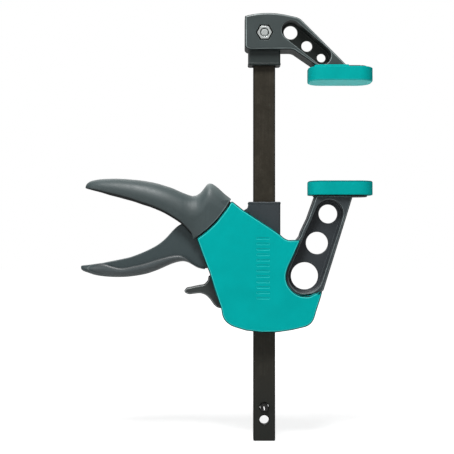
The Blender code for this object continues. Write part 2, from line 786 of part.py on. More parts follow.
def make_jaw_washer(parent):
    """Plain washer under the bolt's head."""
    centre = (0, BOLT_HEIGHT)
    base = washer_seat()
    washer = rod("jaw_washer", centre, WASHER_RADIUS, base, base + WASHER_HEIGHT, parent)
    cut(washer, rod("jaw_washer_hole", centre, BOLT_RADIUS + GAP, base - OVERRUN,
                    base + WASHER_HEIGHT + OVERRUN, parent, PIN_STEPS))
    return zinc_steel(washer)


def make_jaw_nut(parent):
    """Hexagon nut in its pocket, open for the bolt's end."""
    centre = (0, BOLT_HEIGHT)
    front = nut_front()
    back = front + NUT_HEIGHT
    levels = [(front, NUT_CHAMFER), (front + NUT_CHAMFER, 0), (back, 0)]
    nut = slab("jaw_nut", hexagon(centre, NUT_ACROSS_FLATS), levels, parent)
    cut(nut, rod("jaw_nut_hole", centre, BOLT_RADIUS + GAP, front - OVERRUN, back + OVERRUN,
                 parent, PIN_STEPS))
    return zinc_steel(nut)


# Soft pads


def make_pad(name, parent, up):
    """A soft cap: a clamping face, a wall round the foot and a lip that holds it on."""
    plan = rounded_rectangle(PAD_LENGTH, PAD_WIDTH, PAD_CORNER, CORNER_STEPS)
    centre = (JAW_REACH, 0)
    levels = [(0, PAD_EDGE), (PAD_EDGE, 0), (PAD_HEIGHT - PAD_EDGE / 2, 0), (PAD_HEIGHT, PAD_EDGE / 2)]
    pad = plate(name, plan, [(up * z, drawn) for z, drawn in levels], parent, centre)
    if up > 0:
        join(pad, pad_collar(parent))
    pocket_top = PAD_HEIGHT - PAD_LIP_HEIGHT
    mouth_wall = PAD_WALL + PAD_LIP
    mouth = [(up * (pocket_top - OVERRUN), mouth_wall), (up * (PAD_HEIGHT + OVERRUN), mouth_wall)]
    pocket = [(up * PAD_FACE, PAD_WALL), (up * pocket_top, PAD_WALL)]
    cut(
        pad,
        plate(f"{name}_pocket", plan, pocket, parent, centre),
        plate(f"{name}_mouth", plan, mouth, parent, centre),
    )
    return teal_pad(pad)


def pad_collar(parent):
    """The fixed pad's low raised rim beside the arm's foot, front and back."""
    plan = rounded_rectangle(PAD_LENGTH, PAD_WIDTH, PAD_CORNER, CORNER_STEPS)
    low, top = PAD_HEIGHT - PAD_LIP_HEIGHT, PAD_HEIGHT + PAD_COLLAR_RISE
    levels = [(low, PAD_EDGE), (top - PAD_EDGE / 2, PAD_EDGE), (top, PAD_EDGE + PAD_EDGE / 2)]
    rim = plate("pad_collar", plan, levels, parent, (JAW_REACH, 0))
    left, right = [share * JAW_LENGTH - HEAD_LEFT for share in PAD_COLLAR_SHARES]
    deep, inner = PAD_WIDTH / 2 + OVERRUN, HEAD_HALF_DEPTH + GAP
    low, top = low - OVERRUN, top + OVERRUN
    keep_inside(rim, block("pad_collar_reach", (left, -deep, low), (right, deep, top), parent))
    left, right, low, top = left - OVERRUN, right + OVERRUN, low - OVERRUN, top + OVERRUN
    cut(rim, block("pad_collar_room", (left, -inner, low), (right, inner, top), parent))
    return rim


# Body of the sliding jaw


def grip_sections(shares, reach, drop, half_width, crown, hem):
    """Cross sections of a handle: flat sides, an arched top and a narrow hem below."""
    rings = []
    for place, top, bottom, width in shares:
        high, low, wide = top * drop, bottom * drop, width * half_width
        arch = min(crown, (high - low) * GRIP_ARCH_SHARE, wide)
        edge = min(hem, (high - low) * GRIP_HEM_SHARE, wide / 2)
        side = [(wide - edge, low), (wide, low + edge)]
        side += [(wide - arch * (1 - math.cos(turn)) * GRIP_LEAN_SHARE, high - arch * (1 - math.sin(turn)))
                 for turn in (math.radians(angle) for angle in (0, 30, 60, 90))]
        ring = [(-place * reach, y, z) for y, z in side]
        ring += [(-place * reach, -y, z) for y, z in reversed(side)]
        rings.append(ring)
    return rings


def make_grip(parent):
    """The hollow upper handle, cut round where it meets the covers."""
    sections = grip_sections(GRIP_SHARES, GRIP_REACH, GRIP_DROP, GRIP_HALF_WIDTH, GRIP_CROWN, GRIP_HEM)
    grip = solid("grip", sections, parent)
    reach = HOUSING_HALF_DEPTH + OVERRUN
    end = rod("grip_end", parting_centre(), PARTING_RADIUS - GAP, -reach, reach, parent, HOLE_STEPS * 4)
    keep_inside(grip, end)
    return grip


def make_channel(parent):
    """The hollow under the grip that the trigger's web swings up into."""
    rings = []
    bottom = CHANNEL_BOTTOM_SHARE * GRIP_DROP
    for index, (place, roof) in enumerate(CHANNEL_SHARES):
        narrow = CHANNEL_NARROW_SHARES[index] if index < len(CHANNEL_NARROW_SHARES) else 1
        wide = narrow * CHANNEL_HALF_WIDTH
        high = roof * GRIP_DROP
        soft = wide / 3
        side = [(wide, bottom), (wide, high - soft), (wide - soft, high)]
        ring = [(-place * GRIP_REACH, y, z) for y, z in side]
        ring += [(-place * GRIP_REACH, -y, z) for y, z in reversed(side)]
        rings.append(ring)
    return solid("grip_channel", rings, parent)


def root_sector(inner, outer, margin_deg):
    """Part of a ring about the parting line's centre, drawn in at both ends."""
    low, high = parting_angles()
    centre = parting_centre()
    outline = arc(centre, inner, low + margin_deg, high - margin_deg, HOLE_STEPS // 4)
    outline += arc(centre, outer, high - margin_deg, low + margin_deg, HOLE_STEPS // 4)
    return outline


def chamber_outline():
    """The mechanism's room between the covers: nose, plates, divider, ledge and lock spring."""
    right = plate_right() + GAP
    plates_top = drive_plate_top(0) + GAP
    nose = nose_centre()
    nose_right = nose[0] + NOSE_RADIUS + GAP + GAP
    pivot = trigger_pivot()
    fulcrum = lock_fulcrum()
    tail = -BAR_WIDTH / 2 - DIVIDER_TAIL
    spring_left = -spring_radius() - SPRING_WIRE - GAP
    out = housing_point(ROOT_LOW_SHARES)[0] - OVERRUN - OVERRUN
    low, high = parting_angles()
    wall = arc(parting_centre(), PARTING_RADIUS + ROOT_LAP, high - ROOM_TOP_DEG, low + ROOM_LOW_DEG,
               HOLE_STEPS // 4)
    outline = [(right, plates_top), (nose_right, plates_top), (nose_right, pivot[1] + NOSE_RADIUS)]
    outline += [(nose[0] - NOSE_RADIUS, pivot[1] + TRIGGER_BOSS + GAP)]
    outline += wall
    floor, slot, ledge = body_floor(), slot_bottom(), fulcrum[1] + GAP
    divider = divider_top()
    outline += [(out, wall[-1][1]), (out, slot), (spring_left, slot), (spring_left, floor)]
    outline += [(right, floor), (right, ledge), (fulcrum[0], ledge)]
    outline += [(fulcrum[0], divider - DIVIDER_THICKNESS), (tail, divider - DIVIDER_THICKNESS)]
    outline += [(tail, divider), (right, divider)]
    return outline


def make_body(parent):
    """The sliding jaw in one moulding: grip, frame, collar, arm with its web and holes, and foot."""
    core_half = HOUSING_HALF_DEPTH - COVER_FACE - GAP
    core = untangled(inset(cover_outline(), COVER_SKIRT + GAP))
    body = slab("body", core, [(-core_half, 0), (core_half, 0)], parent)
    lap = root_sector(PARTING_RADIUS - ROOT_LAP, PARTING_RADIUS + ROOT_LAP + COVER_SKIRT, ROOT_MARGIN_DEG)
    join(body, slab("body_root_lap", lap, [(-core_half, 0), (core_half, 0)], parent))
    join(body, make_grip(parent))
    low, high = collar_corners(-BODY_COLLAR_TOP, trigger_pivot()[1])
    join(body, block("body_collar", low, high, parent, COLLAR_EDGE))
    flare_top = -BODY_COLLAR_TOP - COLLAR_FLARE_DROP
    low = (low[0] - COLLAR_FLARE, low[1], flare_top - COLLAR_FLARE_HEIGHT - COLLAR_FLARE_HEIGHT)
    high = (0, high[1], flare_top)
    join(body, block("body_collar_flare", low, high, parent, COLLAR_EDGE / 2))
    join(body, slab("body_arm", arm_outline(), crowned(ARM_HALF_DEPTH, HEAD_EDGE, HEAD_EDGE_DEPTH), parent))
    join(body, make_foot("body_foot", parent, -1))
    shape_arm(body, parent)
    depth = [(-HOUSING_HALF_DEPTH, 0), (HOUSING_HALF_DEPTH, 0)]
    cut(body, slab("body_chamber", chamber_outline(), depth, parent))
    cut(body, make_channel(parent))
    low, high = -HOUSING_TOP - HOUSING_HEIGHT, OVERRUN - BODY_COLLAR_TOP
    cut(body, bar_passage("body_bar_passage", low, high, parent))
    for number, centre in enumerate(post_centres()):
        cut(body, rod(f"body_post_hole_{number}", centre, POST_RADIUS + GAP,
                      -HOUSING_HALF_DEPTH, HOUSING_HALF_DEPTH, parent, PIN_STEPS))
    return grey_nylon(body)


def shape_arm(body, parent):
    """Sink the arm's recesses to its web inside a narrow rim, and bore the three holes."""
    upper, middle = arm_point(ARM_UPPER_SHARES), arm_point(ARM_MIDDLE_SHARES)
    low_radius = ring_radius() - RING_RIM
    recess = link(upper, ARM_RECESS_SHARE * JAW_REACH, ring_centre(), low_radius, HOLE_STEPS // 2)
    for side, name in ((-1, "arm_recess_front"), (1, "arm_recess_back")):
        cut(body, recess_tool(name, recess, side, ARM_HALF_DEPTH, parent))
    reach = ARM_HALF_DEPTH + OVERRUN
    for name, centre, radius in (
        ("arm_upper_hole", upper, UPPER_HOLE),
        ("arm_middle_hole", middle, MIDDLE_HOLE),
        ("arm_ring_hole", ring_centre(), ring_radius() - RING_WALL),
    ):
        cut(body, rod(name, centre, radius, -reach, reach, parent))


# Covers


def make_cover(name, parent, side):
    """One cover: a bevelled face, a skirt round its rim, and bosses for the pins and screws."""
    inner = HOUSING_HALF_DEPTH - COVER_FACE
    outline = cover_outline()
    levels = [(GAP / 2, 0), (HOUSING_HALF_DEPTH - COVER_EDGE, 0), (HOUSING_HALF_DEPTH, COVER_EDGE)]
    cover = slab(name, outline, [(side * y, drawn) for y, drawn in levels], parent)
    room = untangled(inset(outline, COVER_SKIRT))
    cut(cover, slab(f"{name}_room", room, [(-side * OVERRUN, 0), (side * inner, 0)], parent))
    cut_skirt(cover, name, parent, side, inner)
    add_pin_bosses(cover, name, parent, side, inner)
    add_posts(cover, name, parent, side, inner)
    return teal_shell(cover)


def cut_skirt(cover, name, parent, side, inner):
    """Open the skirt for the grip's root, the collar, the arm, the levers and the bar."""
    out = -OVERRUN * side
    root = root_sector(PARTING_RADIUS - OVERRUN, PARTING_RADIUS + COVER_SKIRT + GAP + GAP, -ROOT_MARGIN_DEG)
    cut(cover, slab(f"{name}_root_gate", root, [(out, 0), (side * inner, 0)], parent))
    arm = inset(arm_outline(), -GAP)
    cut(cover, slab(f"{name}_arm_gate", arm, [(out, 0), (side * inner, 0)], parent))
    low, high = collar_corners(OVERRUN - BODY_COLLAR_TOP, trigger_pivot()[1])
    deep = COLLAR_DEPTH / 2 + GAP
    gate_left, gate_right = low[0] - GAP, high[0] + GAP
    gate = [(gate_left, low[2]), (gate_right, low[2]), (gate_right, high[2]), (gate_left, high[2])]
    cut(cover, slab(f"{name}_collar_gate", gate, [(out, 0), (side * deep, 0)], parent))
    far_left = -COLLAR_WIDTH / 2 - COLLAR_FLARE - GAP
    flare_low = -BODY_COLLAR_TOP - COLLAR_FLARE_DROP - COLLAR_FLARE_HEIGHT * 2 - GAP
    flare = [(far_left, flare_low), (0, flare_low), (0, high[2]), (far_left, high[2])]
    cut(cover, slab(f"{name}_flare_gate", flare, [(out, 0), (side * deep, 0)], parent))
    corner = housing_point(ROOT_LOW_SHARES)
    pivot = lever_pivot()
    left, right = corner[0] - OVERRUN, pivot[0] + COVER_SKIRT
    slot = [(left, corner[1] + COVER_SKIRT), (left, slot_bottom()), (right, slot_bottom())]
    slot += [(right, pivot[1]), (corner[0] + COVER_SKIRT * 3, corner[1] + COVER_SKIRT)]
    cut(cover, slab(f"{name}_lever_gate", slot, [(out, 0), (side * inner, 0)], parent))
    bottom = -HOUSING_TOP - HOUSING_HEIGHT
    across = BAR_WIDTH / 2 + GAP
    floor = body_floor()
    gate = [(-across, bottom - OVERRUN), (across, bottom - OVERRUN), (across, floor), (-across, floor)]
    cut(cover, slab(f"{name}_bar_gate", gate, [(out, 0), (side * (BAR_THICKNESS / 2 + GAP), 0)], parent))


def add_pin_bosses(cover, name, parent, side, inner):
    """Round bosses with blind holes that hold the ends of the two pivot pins."""
    for pin, centre, radius, face in (
        ("trigger_boss", trigger_pivot(), TRIGGER_PIN_RADIUS, TRIGGER_WEB_HALF_DEPTH),
        ("lever_boss", lever_pivot(), LEVER_PIN_RADIUS, LEVER_HALF_DEPTH),
    ):
        outer = radius + GAP + BOSS_WALL
        root = side * (inner + COVER_FACE / 3)
        join(cover, rod(f"{name}_{pin}", centre, outer, *sorted((side * (face + GAP), root)), parent))
        depth = side * (pin_reach() + GAP)
        cut(cover, rod(f"{name}_{pin}_hole", centre, radius + GAP, *sorted((-side * OVERRUN, depth)),
                       parent, PIN_STEPS))


def add_posts(cover, name, parent, side, inner):
    """Screw posts that meet in the middle; the back cover takes the screws' heads."""
    centres = post_centres()
    root = side * (inner + COVER_FACE / 3)
    for number, centre in enumerate(centres):
        join(cover, rod(f"{name}_post_{number}", centre, POST_RADIUS, *sorted((side * GAP / 2, root)),
                        parent, PIN_STEPS))
    for number, centre in enumerate(centres):
        cut(cover, screw_hole(f"{name}_post_hole_{number}", centre, parent, side))


def screw_hole(name, centre, parent, side):
    """Blind hole for a screw's end in front, or a through hole with its head's seat at the back."""
    outline = circle(centre, SCREW_RADIUS + GAP, PIN_STEPS)
    if side < 0:
        return slab(name, outline, [(-screw_reach() - GAP, 0), (OVERRUN, 0)], parent)
    seat, step = screw_seat() - GAP, SCREW_RADIUS - SCREW_HEAD_RADIUS
    end = HOUSING_HALF_DEPTH + OVERRUN
    return slab(name, outline, [(-OVERRUN, 0), (seat, 0), (seat, step), (end, step)], parent)


def pin_reach():
    """How far a pivot pin reaches from the middle into each cover."""
    return HOUSING_HALF_DEPTH - COVER_FACE / 2


def screw_seat():
    """Depth of the underside of a cover screw's head."""
    return HOUSING_HALF_DEPTH - SCREW_HEAD_SUNK - SCREW_HEAD_HEIGHT


def screw_reach():
    """How far a cover screw reaches into the front cover."""
    return HOUSING_HALF_DEPTH - SCREW_END_FACE - GAP


def make_cover_screw(number, centre, parent):
    """One cover screw with a pan head, driven from the back."""
    name = f"cover_screw_{number}"
    seat = screw_seat()
    screw = rod(name, centre, SCREW_RADIUS, -screw_reach(), seat + BAR_CHAMFER, parent, PIN_STEPS)
    top = seat + SCREW_HEAD_HEIGHT
    levels = [(seat, 0), (top - SCREW_HEAD_HEIGHT / 3, 0), (top, SCREW_HEAD_HEIGHT / 3)]
    join(screw, slab(f"{name}_head", circle(centre, SCREW_HEAD_RADIUS, PIN_STEPS), levels, parent))
    return zinc_steel(screw)


def make_pivot_pin(name, centre, radius, parent):
    """A plain pin held in the bosses of both covers."""
    return zinc_steel(rod(name, centre, radius, -pin_reach(), pin_reach(), parent, PIN_STEPS, BAR_CHAMFER))


# Trigger


def make_trigger(parent):
    """The lower handle: a web with pivot boss and nose, and a wide round flange for the fingers."""
    pivot = trigger_pivot()
    nose = moved([nose_centre()], pivot)[0]
    outline = about(TRIGGER_TOP_SHARES, TRIGGER_BORE_SHARES, TRIGGER_REACH, TRIGGER_DEPTH)
    outline += arc((0, 0), TRIGGER_BOSS, 95, 45, CORNER_STEPS)
    outline += arc(nose, NOSE_RADIUS, 60, -110, CORNER_STEPS + 3)
    outline += about(TRIGGER_LOW_SHARES, TRIGGER_BORE_SHARES, TRIGGER_REACH, TRIGGER_DEPTH)
    deep = TRIGGER_WEB_HALF_DEPTH
    levels = [(-deep, TRIGGER_WEB_EDGE), (TRIGGER_WEB_EDGE - deep, 0)]
    levels += [(deep - TRIGGER_WEB_EDGE, 0), (deep, TRIGGER_WEB_EDGE)]
    trigger = slab("trigger", outline, levels, parent)
    join(trigger, make_finger_flange(parent))
    reach = deep + OVERRUN
    cut(trigger, rod("trigger_bore", (0, 0), TRIGGER_PIN_RADIUS + GAP, -reach, reach, parent, PIN_STEPS))
    return grey_nylon(trigger)


def make_finger_flange(parent):
    """The flange along the trigger's underside, arched below and flat above."""
    rings = []
    for place, top, bottom, width in FLANGE_SHARES:
        (across, high), (_, low) = about(((place, top), (place, bottom)), TRIGGER_BORE_SHARES,
                                         TRIGGER_REACH, TRIGGER_DEPTH)
        wide = width * FLANGE_HALF_WIDTH
        hem = min(FLANGE_HEM, (high - low) / 4, wide / 4)
        drop = high - low - hem
        side = [(wide - hem, high), (wide, high - hem)]
        side += [(wide * math.cos(turn), high - hem - drop * math.sin(turn))
                 for turn in (math.radians(angle) for angle in (25, 50, 72, 90))]
        ring = [(across, y, z) for y, z in side]
        ring += [(across, -y, z) for y, z in reversed(side[:-1])]
        rings.append(ring)
    return solid("trigger_flange", rings, parent)


# Release lever


def make_release_lever(carriage):
    """The release lever: finger hook, pivot boss and the nose that levels the lock plate."""
    pivot = lever_pivot()
    parent = axis_point("release_axis", carriage, (pivot[0], 0, pivot[1]))
    nose = moved([lever_nose_centre()], pivot)[0]
    outline = about(LEVER_SHARES, LEVER_BORE_SHARES, LEVER_REACH, LEVER_DEPTH)
    outline += arc(nose, LEVER_NOSE_RADIUS, -110, 100, CORNER_STEPS + 3)
    outline += about(LEVER_TOP_SHARES, LEVER_BORE_SHARES, LEVER_REACH, LEVER_DEPTH)
    deep = LEVER_HALF_DEPTH
    levels = [(-deep, LEVER_EDGE), (LEVER_EDGE - deep, 0), (deep - LEVER_EDGE, 0), (deep, LEVER_EDGE)]
    lever = slab("release_lever", outline, levels, parent)
    reach = deep + OVERRUN
    cut(lever, rod("release_bore", (0, 0), LEVER_PIN_RADIUS + GAP, -reach, reach, parent, PIN_STEPS))
    return grey_nylon(lever)


# Drive plates, lock plate and springs


def make_plate(name, parent, left, right, top, hole_left, hole_right):
    """A flat steel plate with the window that grips the bar."""
    bottom = top - PLATE_THICKNESS
    item = block(name, (left, -PLATE_HALF_DEPTH, bottom), (right, PLATE_HALF_DEPTH, top), parent)
    deep = BAR_THICKNESS / 2 + PLATE_PLAY
    low = (hole_left, -deep, bottom - OVERRUN)
    cut(item, block(f"{name}_window", low, (hole_right, deep, top + OVERRUN), parent))
    return black_steel(item)


def make_drive_plate(index, parent):
    """One of the plates that the trigger pushes down the bar."""
    across = BAR_WIDTH / 2 + PLATE_PLAY
    left = -BAR_WIDTH / 2 - DRIVE_PLATE_TAIL
    top = drive_plate_top(index) - drive_plate_top(0)
    return make_plate(f"drive_plate_{index + 1}", parent, left, plate_right(), top, -across, across)


def make_lock_plate(parent):
    """The plate that jams on the bar when the body is pushed down, drawn level from its fulcrum."""
    fulcrum = lock_fulcrum()
    half = BAR_WIDTH / 2 + LOCK_PLATE_PLAY
    left = -BAR_WIDTH / 2 - LOCK_PLATE_TAIL - fulcrum[0]
    right = plate_right() - fulcrum[0]
    return make_plate("lock_plate", parent, left, right, 0, -half - fulcrum[0], half - fulcrum[0])


def make_spring(name, parent, bottom, top):
    """A round-wire coil about the bar with a narrow pitch in its end coils and straight wire ends."""
    radius = spring_radius()
    wire = SPRING_WIRE / 2
    turns = int((top - bottom) / SPRING_PITCH)
    steps = turns * SPRING_POINTS_PER_TURN
    points = []
    for step in range(steps + 1):
        angle = math.tau * step / SPRING_POINTS_PER_TURN
        height = spring_height(step, steps, bottom + wire, top - wire)
        points.append(Vector((radius * math.cos(angle), radius * math.sin(angle), height)))
    points.insert(0, points[0] + (points[0] - points[1]).normalized() * SPRING_WIRE)
    points.append(points[-1] + (points[-1] - points[-2]).normalized() * SPRING_WIRE)
    curve = bpy.data.curves.new(name, "CURVE")
    curve.dimensions = "3D"
    curve.bevel_depth = wire
    curve.bevel_resolution = 1
    curve.use_fill_caps = True
    spline = curve.splines.new("POLY")
    spline.points.add(len(points) - 1)
    for place, point in zip(spline.points, points):
        place.co = (*point, 1)
    item = bpy.data.objects.new(name, curve)
    item.parent = parent
    bpy.context.collection.objects.link(item)
    print(f"{name}: least gap to itself {least_gap(points) * 1000:.2f} mm")
    return spring_steel(item)


def spring_height(step, steps, low, high):
    """Height of a spring's centre line at a step: end coils just clear, the coils between evenly spread."""
    coil = SPRING_POINTS_PER_TURN
    lift = SPRING_WIRE + SPRING_END_GAP
    if step < coil:
        return low + lift * step / coil
    if step > steps - coil:
        return high - lift * (steps - step) / coil
    return low + lift + (high - low - lift - lift) * (step - coil) / max(steps - coil - coil, 1)


def least_gap(points):
    """Least clear distance between the wire's coils, measured on its points."""
    least = math.inf
    for index, point in enumerate(points):
        for other in points[index + SPRING_POINTS_PER_TURN // 2:]:
            least = min(least, (other - point).length - SPRING_WIRE)
    return least


# Assembly


def build():
    """Make every piece and hang it on its datum."""
    clear_scene()
    clamp = axis_point("clamp", None, (0, 0, 0))
    fixed = axis_point("fixed_side", clamp, (-JAW_REACH, 0, 0))
    make_bar(fixed)
    make_stop_pin(fixed)
    make_fixed_jaw(fixed)
    make_jaw_bolt(fixed)
    make_jaw_washer(fixed)
    make_jaw_nut(fixed)
    make_pad("fixed_pad", fixed, 1)

    carriage = axis_point("carriage", clamp, (-JAW_REACH, 0, -OPENING))
    make_body(carriage)
    make_cover("cover_front", carriage, -1)
    make_cover("cover_back", carriage, 1)
    for number, centre in enumerate(post_centres(), start=1):
        make_cover_screw(number, centre, carriage)
    make_pivot_pin("trigger_pin", trigger_pivot(), TRIGGER_PIN_RADIUS, carriage)
    make_pivot_pin("release_pin", lever_pivot(), LEVER_PIN_RADIUS, carriage)
    make_pad("sliding_pad", carriage, -1)
    make_spring("drive_spring", carriage, divider_top() + GAP, drive_stack_bottom() - GAP)
    lock_bottom = lock_fulcrum()[1] - PLATE_THICKNESS - GAP - GAP
    make_spring("lock_spring", carriage, body_floor() + GAP, lock_bottom)

    pivot = trigger_pivot()
    make_trigger(axis_point("trigger_axis", carriage, (pivot[0], 0, pivot[1])))
    stage = axis_point("drive_stage", carriage, (0, 0, drive_plate_top(0)))
    for index in range(PLATE_COUNT):
        make_drive_plate(index, stage)
    make_release_lever(carriage)
    fulcrum = lock_fulcrum()
    lock_axis = axis_point("lock_axis", carriage, (fulcrum[0], 0, fulcrum[1]))
    lock_axis.rotation_euler = (0, math.radians(LOCK_TILT_DEG), 0)
    make_lock_plate(lock_axis)


build()
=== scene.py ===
import logging
import math
from abc import ABC, abstractmethod
from dataclasses import dataclass
from enum import Enum
from typing import Sequence, Union

import bmesh
import bpy
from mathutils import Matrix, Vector


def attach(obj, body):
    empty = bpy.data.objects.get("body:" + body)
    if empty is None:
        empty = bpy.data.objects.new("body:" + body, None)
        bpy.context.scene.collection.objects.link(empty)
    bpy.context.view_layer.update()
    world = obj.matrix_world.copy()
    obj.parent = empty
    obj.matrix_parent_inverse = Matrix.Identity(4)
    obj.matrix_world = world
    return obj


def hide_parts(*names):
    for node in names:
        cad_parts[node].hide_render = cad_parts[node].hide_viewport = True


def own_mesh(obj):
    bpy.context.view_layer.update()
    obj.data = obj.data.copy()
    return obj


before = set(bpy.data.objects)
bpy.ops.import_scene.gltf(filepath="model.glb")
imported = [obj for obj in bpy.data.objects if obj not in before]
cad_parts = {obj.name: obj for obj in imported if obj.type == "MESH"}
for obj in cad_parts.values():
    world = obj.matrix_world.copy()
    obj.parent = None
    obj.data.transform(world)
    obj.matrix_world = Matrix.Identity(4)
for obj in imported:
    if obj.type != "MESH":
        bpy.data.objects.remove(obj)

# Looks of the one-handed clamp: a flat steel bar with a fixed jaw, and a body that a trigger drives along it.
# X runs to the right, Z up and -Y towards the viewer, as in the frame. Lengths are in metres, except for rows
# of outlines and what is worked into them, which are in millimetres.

LOG = logging.getLogger("clamp")

Point = tuple[float, float]
Place = tuple[float, float, float]
Hole = tuple[float, float, float]  # X, Z and radius
Level = tuple[float, float]  # how far along, and how far an outline is drawn in there
Rows = Sequence[tuple[float, ...]]  # measured points or cross sections
Colour = tuple[int, int, int]  # red, green and blue as a photograph shows them, from 0 to 255

# Working lengths and angles

MM = 0.001
GAP = 0.0003  # play between parts that fit into each other
OVERRUN = 0.002  # how far a tool stands past a face that it opens
WELD = 0.000002  # distance at which corners become one
OVER_EDGE = 0.0001  # how much larger an outline's corner radius is than that of its edges
SHARP_ANGLE = math.radians(32)  # bend from which an edge is sharp
FLAT_ANGLE = math.radians(2)  # bend up to which faces become one
CORNER_SHARE = 0.48  # most share of a side that a rounded corner takes
SLIGHT_BEND = math.radians(24)  # bend up to which an outline runs on as a curve
TIGHT_CORNER = math.radians(100)  # bend from which a corner isn't rounded
CORNER_STEP = math.radians(15)  # turn between the points of a rounded corner
LONG_SIDE = 0.006  # length from which a side is straight
FINE_SIDE = 0.0012  # length up to which a side isn't divided
CURVE_PARTS = 4  # most parts of a curved side

# Places and measures that several pieces share

BAR_AXIS = -0.0484  # X of the bar's axis
FIXED_FACE = 0.0  # height of the fixed pad's clamping face
BODY_FACE = -0.0629  # height of the sliding pad's clamping face
FIXED_ORIGIN = (BAR_AXIS, FIXED_FACE)
BODY_ORIGIN = (BAR_AXIS, BODY_FACE)
BOLT_HEIGHT = 0.0308  # height of the jaw's bolt
PASSAGE_HALF = (0.0073, 0.0028)  # half the width and half the depth of the hole for the bar
COLLAR_HALF = (0.0102, 0.0056)  # the same of the collars round it
COLLAR_CORNER = 0.0014  # radius of their upright edges
# Distance from their mouth and inset
COLLAR_RIM = ((0.0, 0.0005), (0.0002, 0.0001), (0.0006, -0.0002), (0.0012, -0.0002), (0.0015, 0.0))
WEB_HALF = 0.0015  # half the thickness of the web between an arm's recesses
WEB_LIP = 0.0005  # radius of the mouths of its holes
RECESS_ROUND = 0.0008  # radius of a recess's mouth and along its floor
RECESS_DRAFT = 0.0005  # how far its walls lean in
COVER_HALF = 0.0135  # half the depth over both covers
# Places on the sliding body, counted from the bar's axis at the sliding pad's face
PARTING_CENTRE = (-0.07932, 0.01822)  # middle of the arc where grip and covers meet
PARTING_RADIUS = 0.0660  # radius of that arc on the covers' side
SEAM = 0.0008  # gap between grip and covers
TRIGGER_PIVOT = (-0.02430, -0.03620)
TRIGGER_BORE = 0.0028  # radius of the bore about that pivot
LEVER_PIVOT = (-0.02690, -0.07080)
LEVER_BORE = 0.0023  # the same of the release lever's
BORE_LIP = 0.0003  # radius of the mouths of a small bore
BORE_SIDES = 32
SCREW_PLACES = ((-0.0175, -0.0245), (0.0160, -0.0432), (0.0205, -0.0820), (-0.0175, -0.0881))


def fixed(point: Point) -> Point:
    """A point counted from the bar's axis at the fixed pad's face, in the frame."""
    return (FIXED_ORIGIN[0] + point[0], FIXED_ORIGIN[1] + point[1])


def riding(point: Point) -> Point:
    """A point counted from the bar's axis at the sliding pad's face, in the frame."""
    return (BODY_ORIGIN[0] + point[0], BODY_ORIGIN[1] + point[1])


class Body(str, Enum):
    """The bodies of the frame that pieces ride on."""

    BAR = "bar_assembly"
    CARRIAGE = "carriage"
    TRIGGER = "trigger_lever"
    DRIVE = "drive_plates"
    RELEASE = "release"
    LOCK = "lock"


class Slot(str, Enum):
    """The record's material slots."""

    BAR_STEEL = "bar_steel"
    PIN_STEEL = "pin_steel"
    GREY_NYLON = "grey_nylon"
    TEAL_SHELL = "teal_shell"
    TEAL_PAD = "teal_pad"
    ZINC_STEEL = "zinc_steel"
    SPRING_STEEL = "spring_steel"


# Shader sums

SRGB_STRAIGHT_END = 0.04045
SRGB_SLOPE = 12.92
SRGB_OFFSET = 0.055
SRGB_POWER = 2.4
EDGE_SAMPLES = 8
EDGE_BEND = (0.01, 0.16)  # bend of the surface where an edge begins to show and where it is full


@dataclass(frozen=True)
class Value:
    """One output of a shader board, with which sums are written as sums."""

    board: "Board"
    socket: bpy.types.NodeSocket

    def _sum(self, operation: str, *terms: "Input") -> "Value":
        """One sum on the board."""
        return self.board.node("ShaderNodeMath", {"operation": operation}, dict(enumerate(terms)))

    def __add__(self, other: "Input") -> "Value":
        """Value plus other."""
        return self._sum("ADD", self, other)

    def __radd__(self, other: "Input") -> "Value":
        """Other plus value."""
        return self._sum("ADD", other, self)

    def __sub__(self, other: "Input") -> "Value":
        """Value less other."""
        return self._sum("SUBTRACT", self, other)

    def __rsub__(self, other: "Input") -> "Value":
        """Other less value."""
        return self._sum("SUBTRACT", other, self)

    def __mul__(self, other: "Input") -> "Value":
        """Value times other."""
        return self._sum("MULTIPLY", self, other)

    def __rmul__(self, other: "Input") -> "Value":
        """Other times value."""
        return self._sum("MULTIPLY", other, self)

    def __abs__(self) -> "Value":
        """The value without its sign."""
        return self._sum("ABSOLUTE", self)

    def root(self) -> "Value":
        """The value's square root."""
        return self._sum("SQRT", self)

    def clamped(self) -> "Value":
        """The value kept between 0 and 1."""
        return self.board.node("ShaderNodeClamp", {}, {0: self})


Input = Union[Value, float, tuple, Vector]


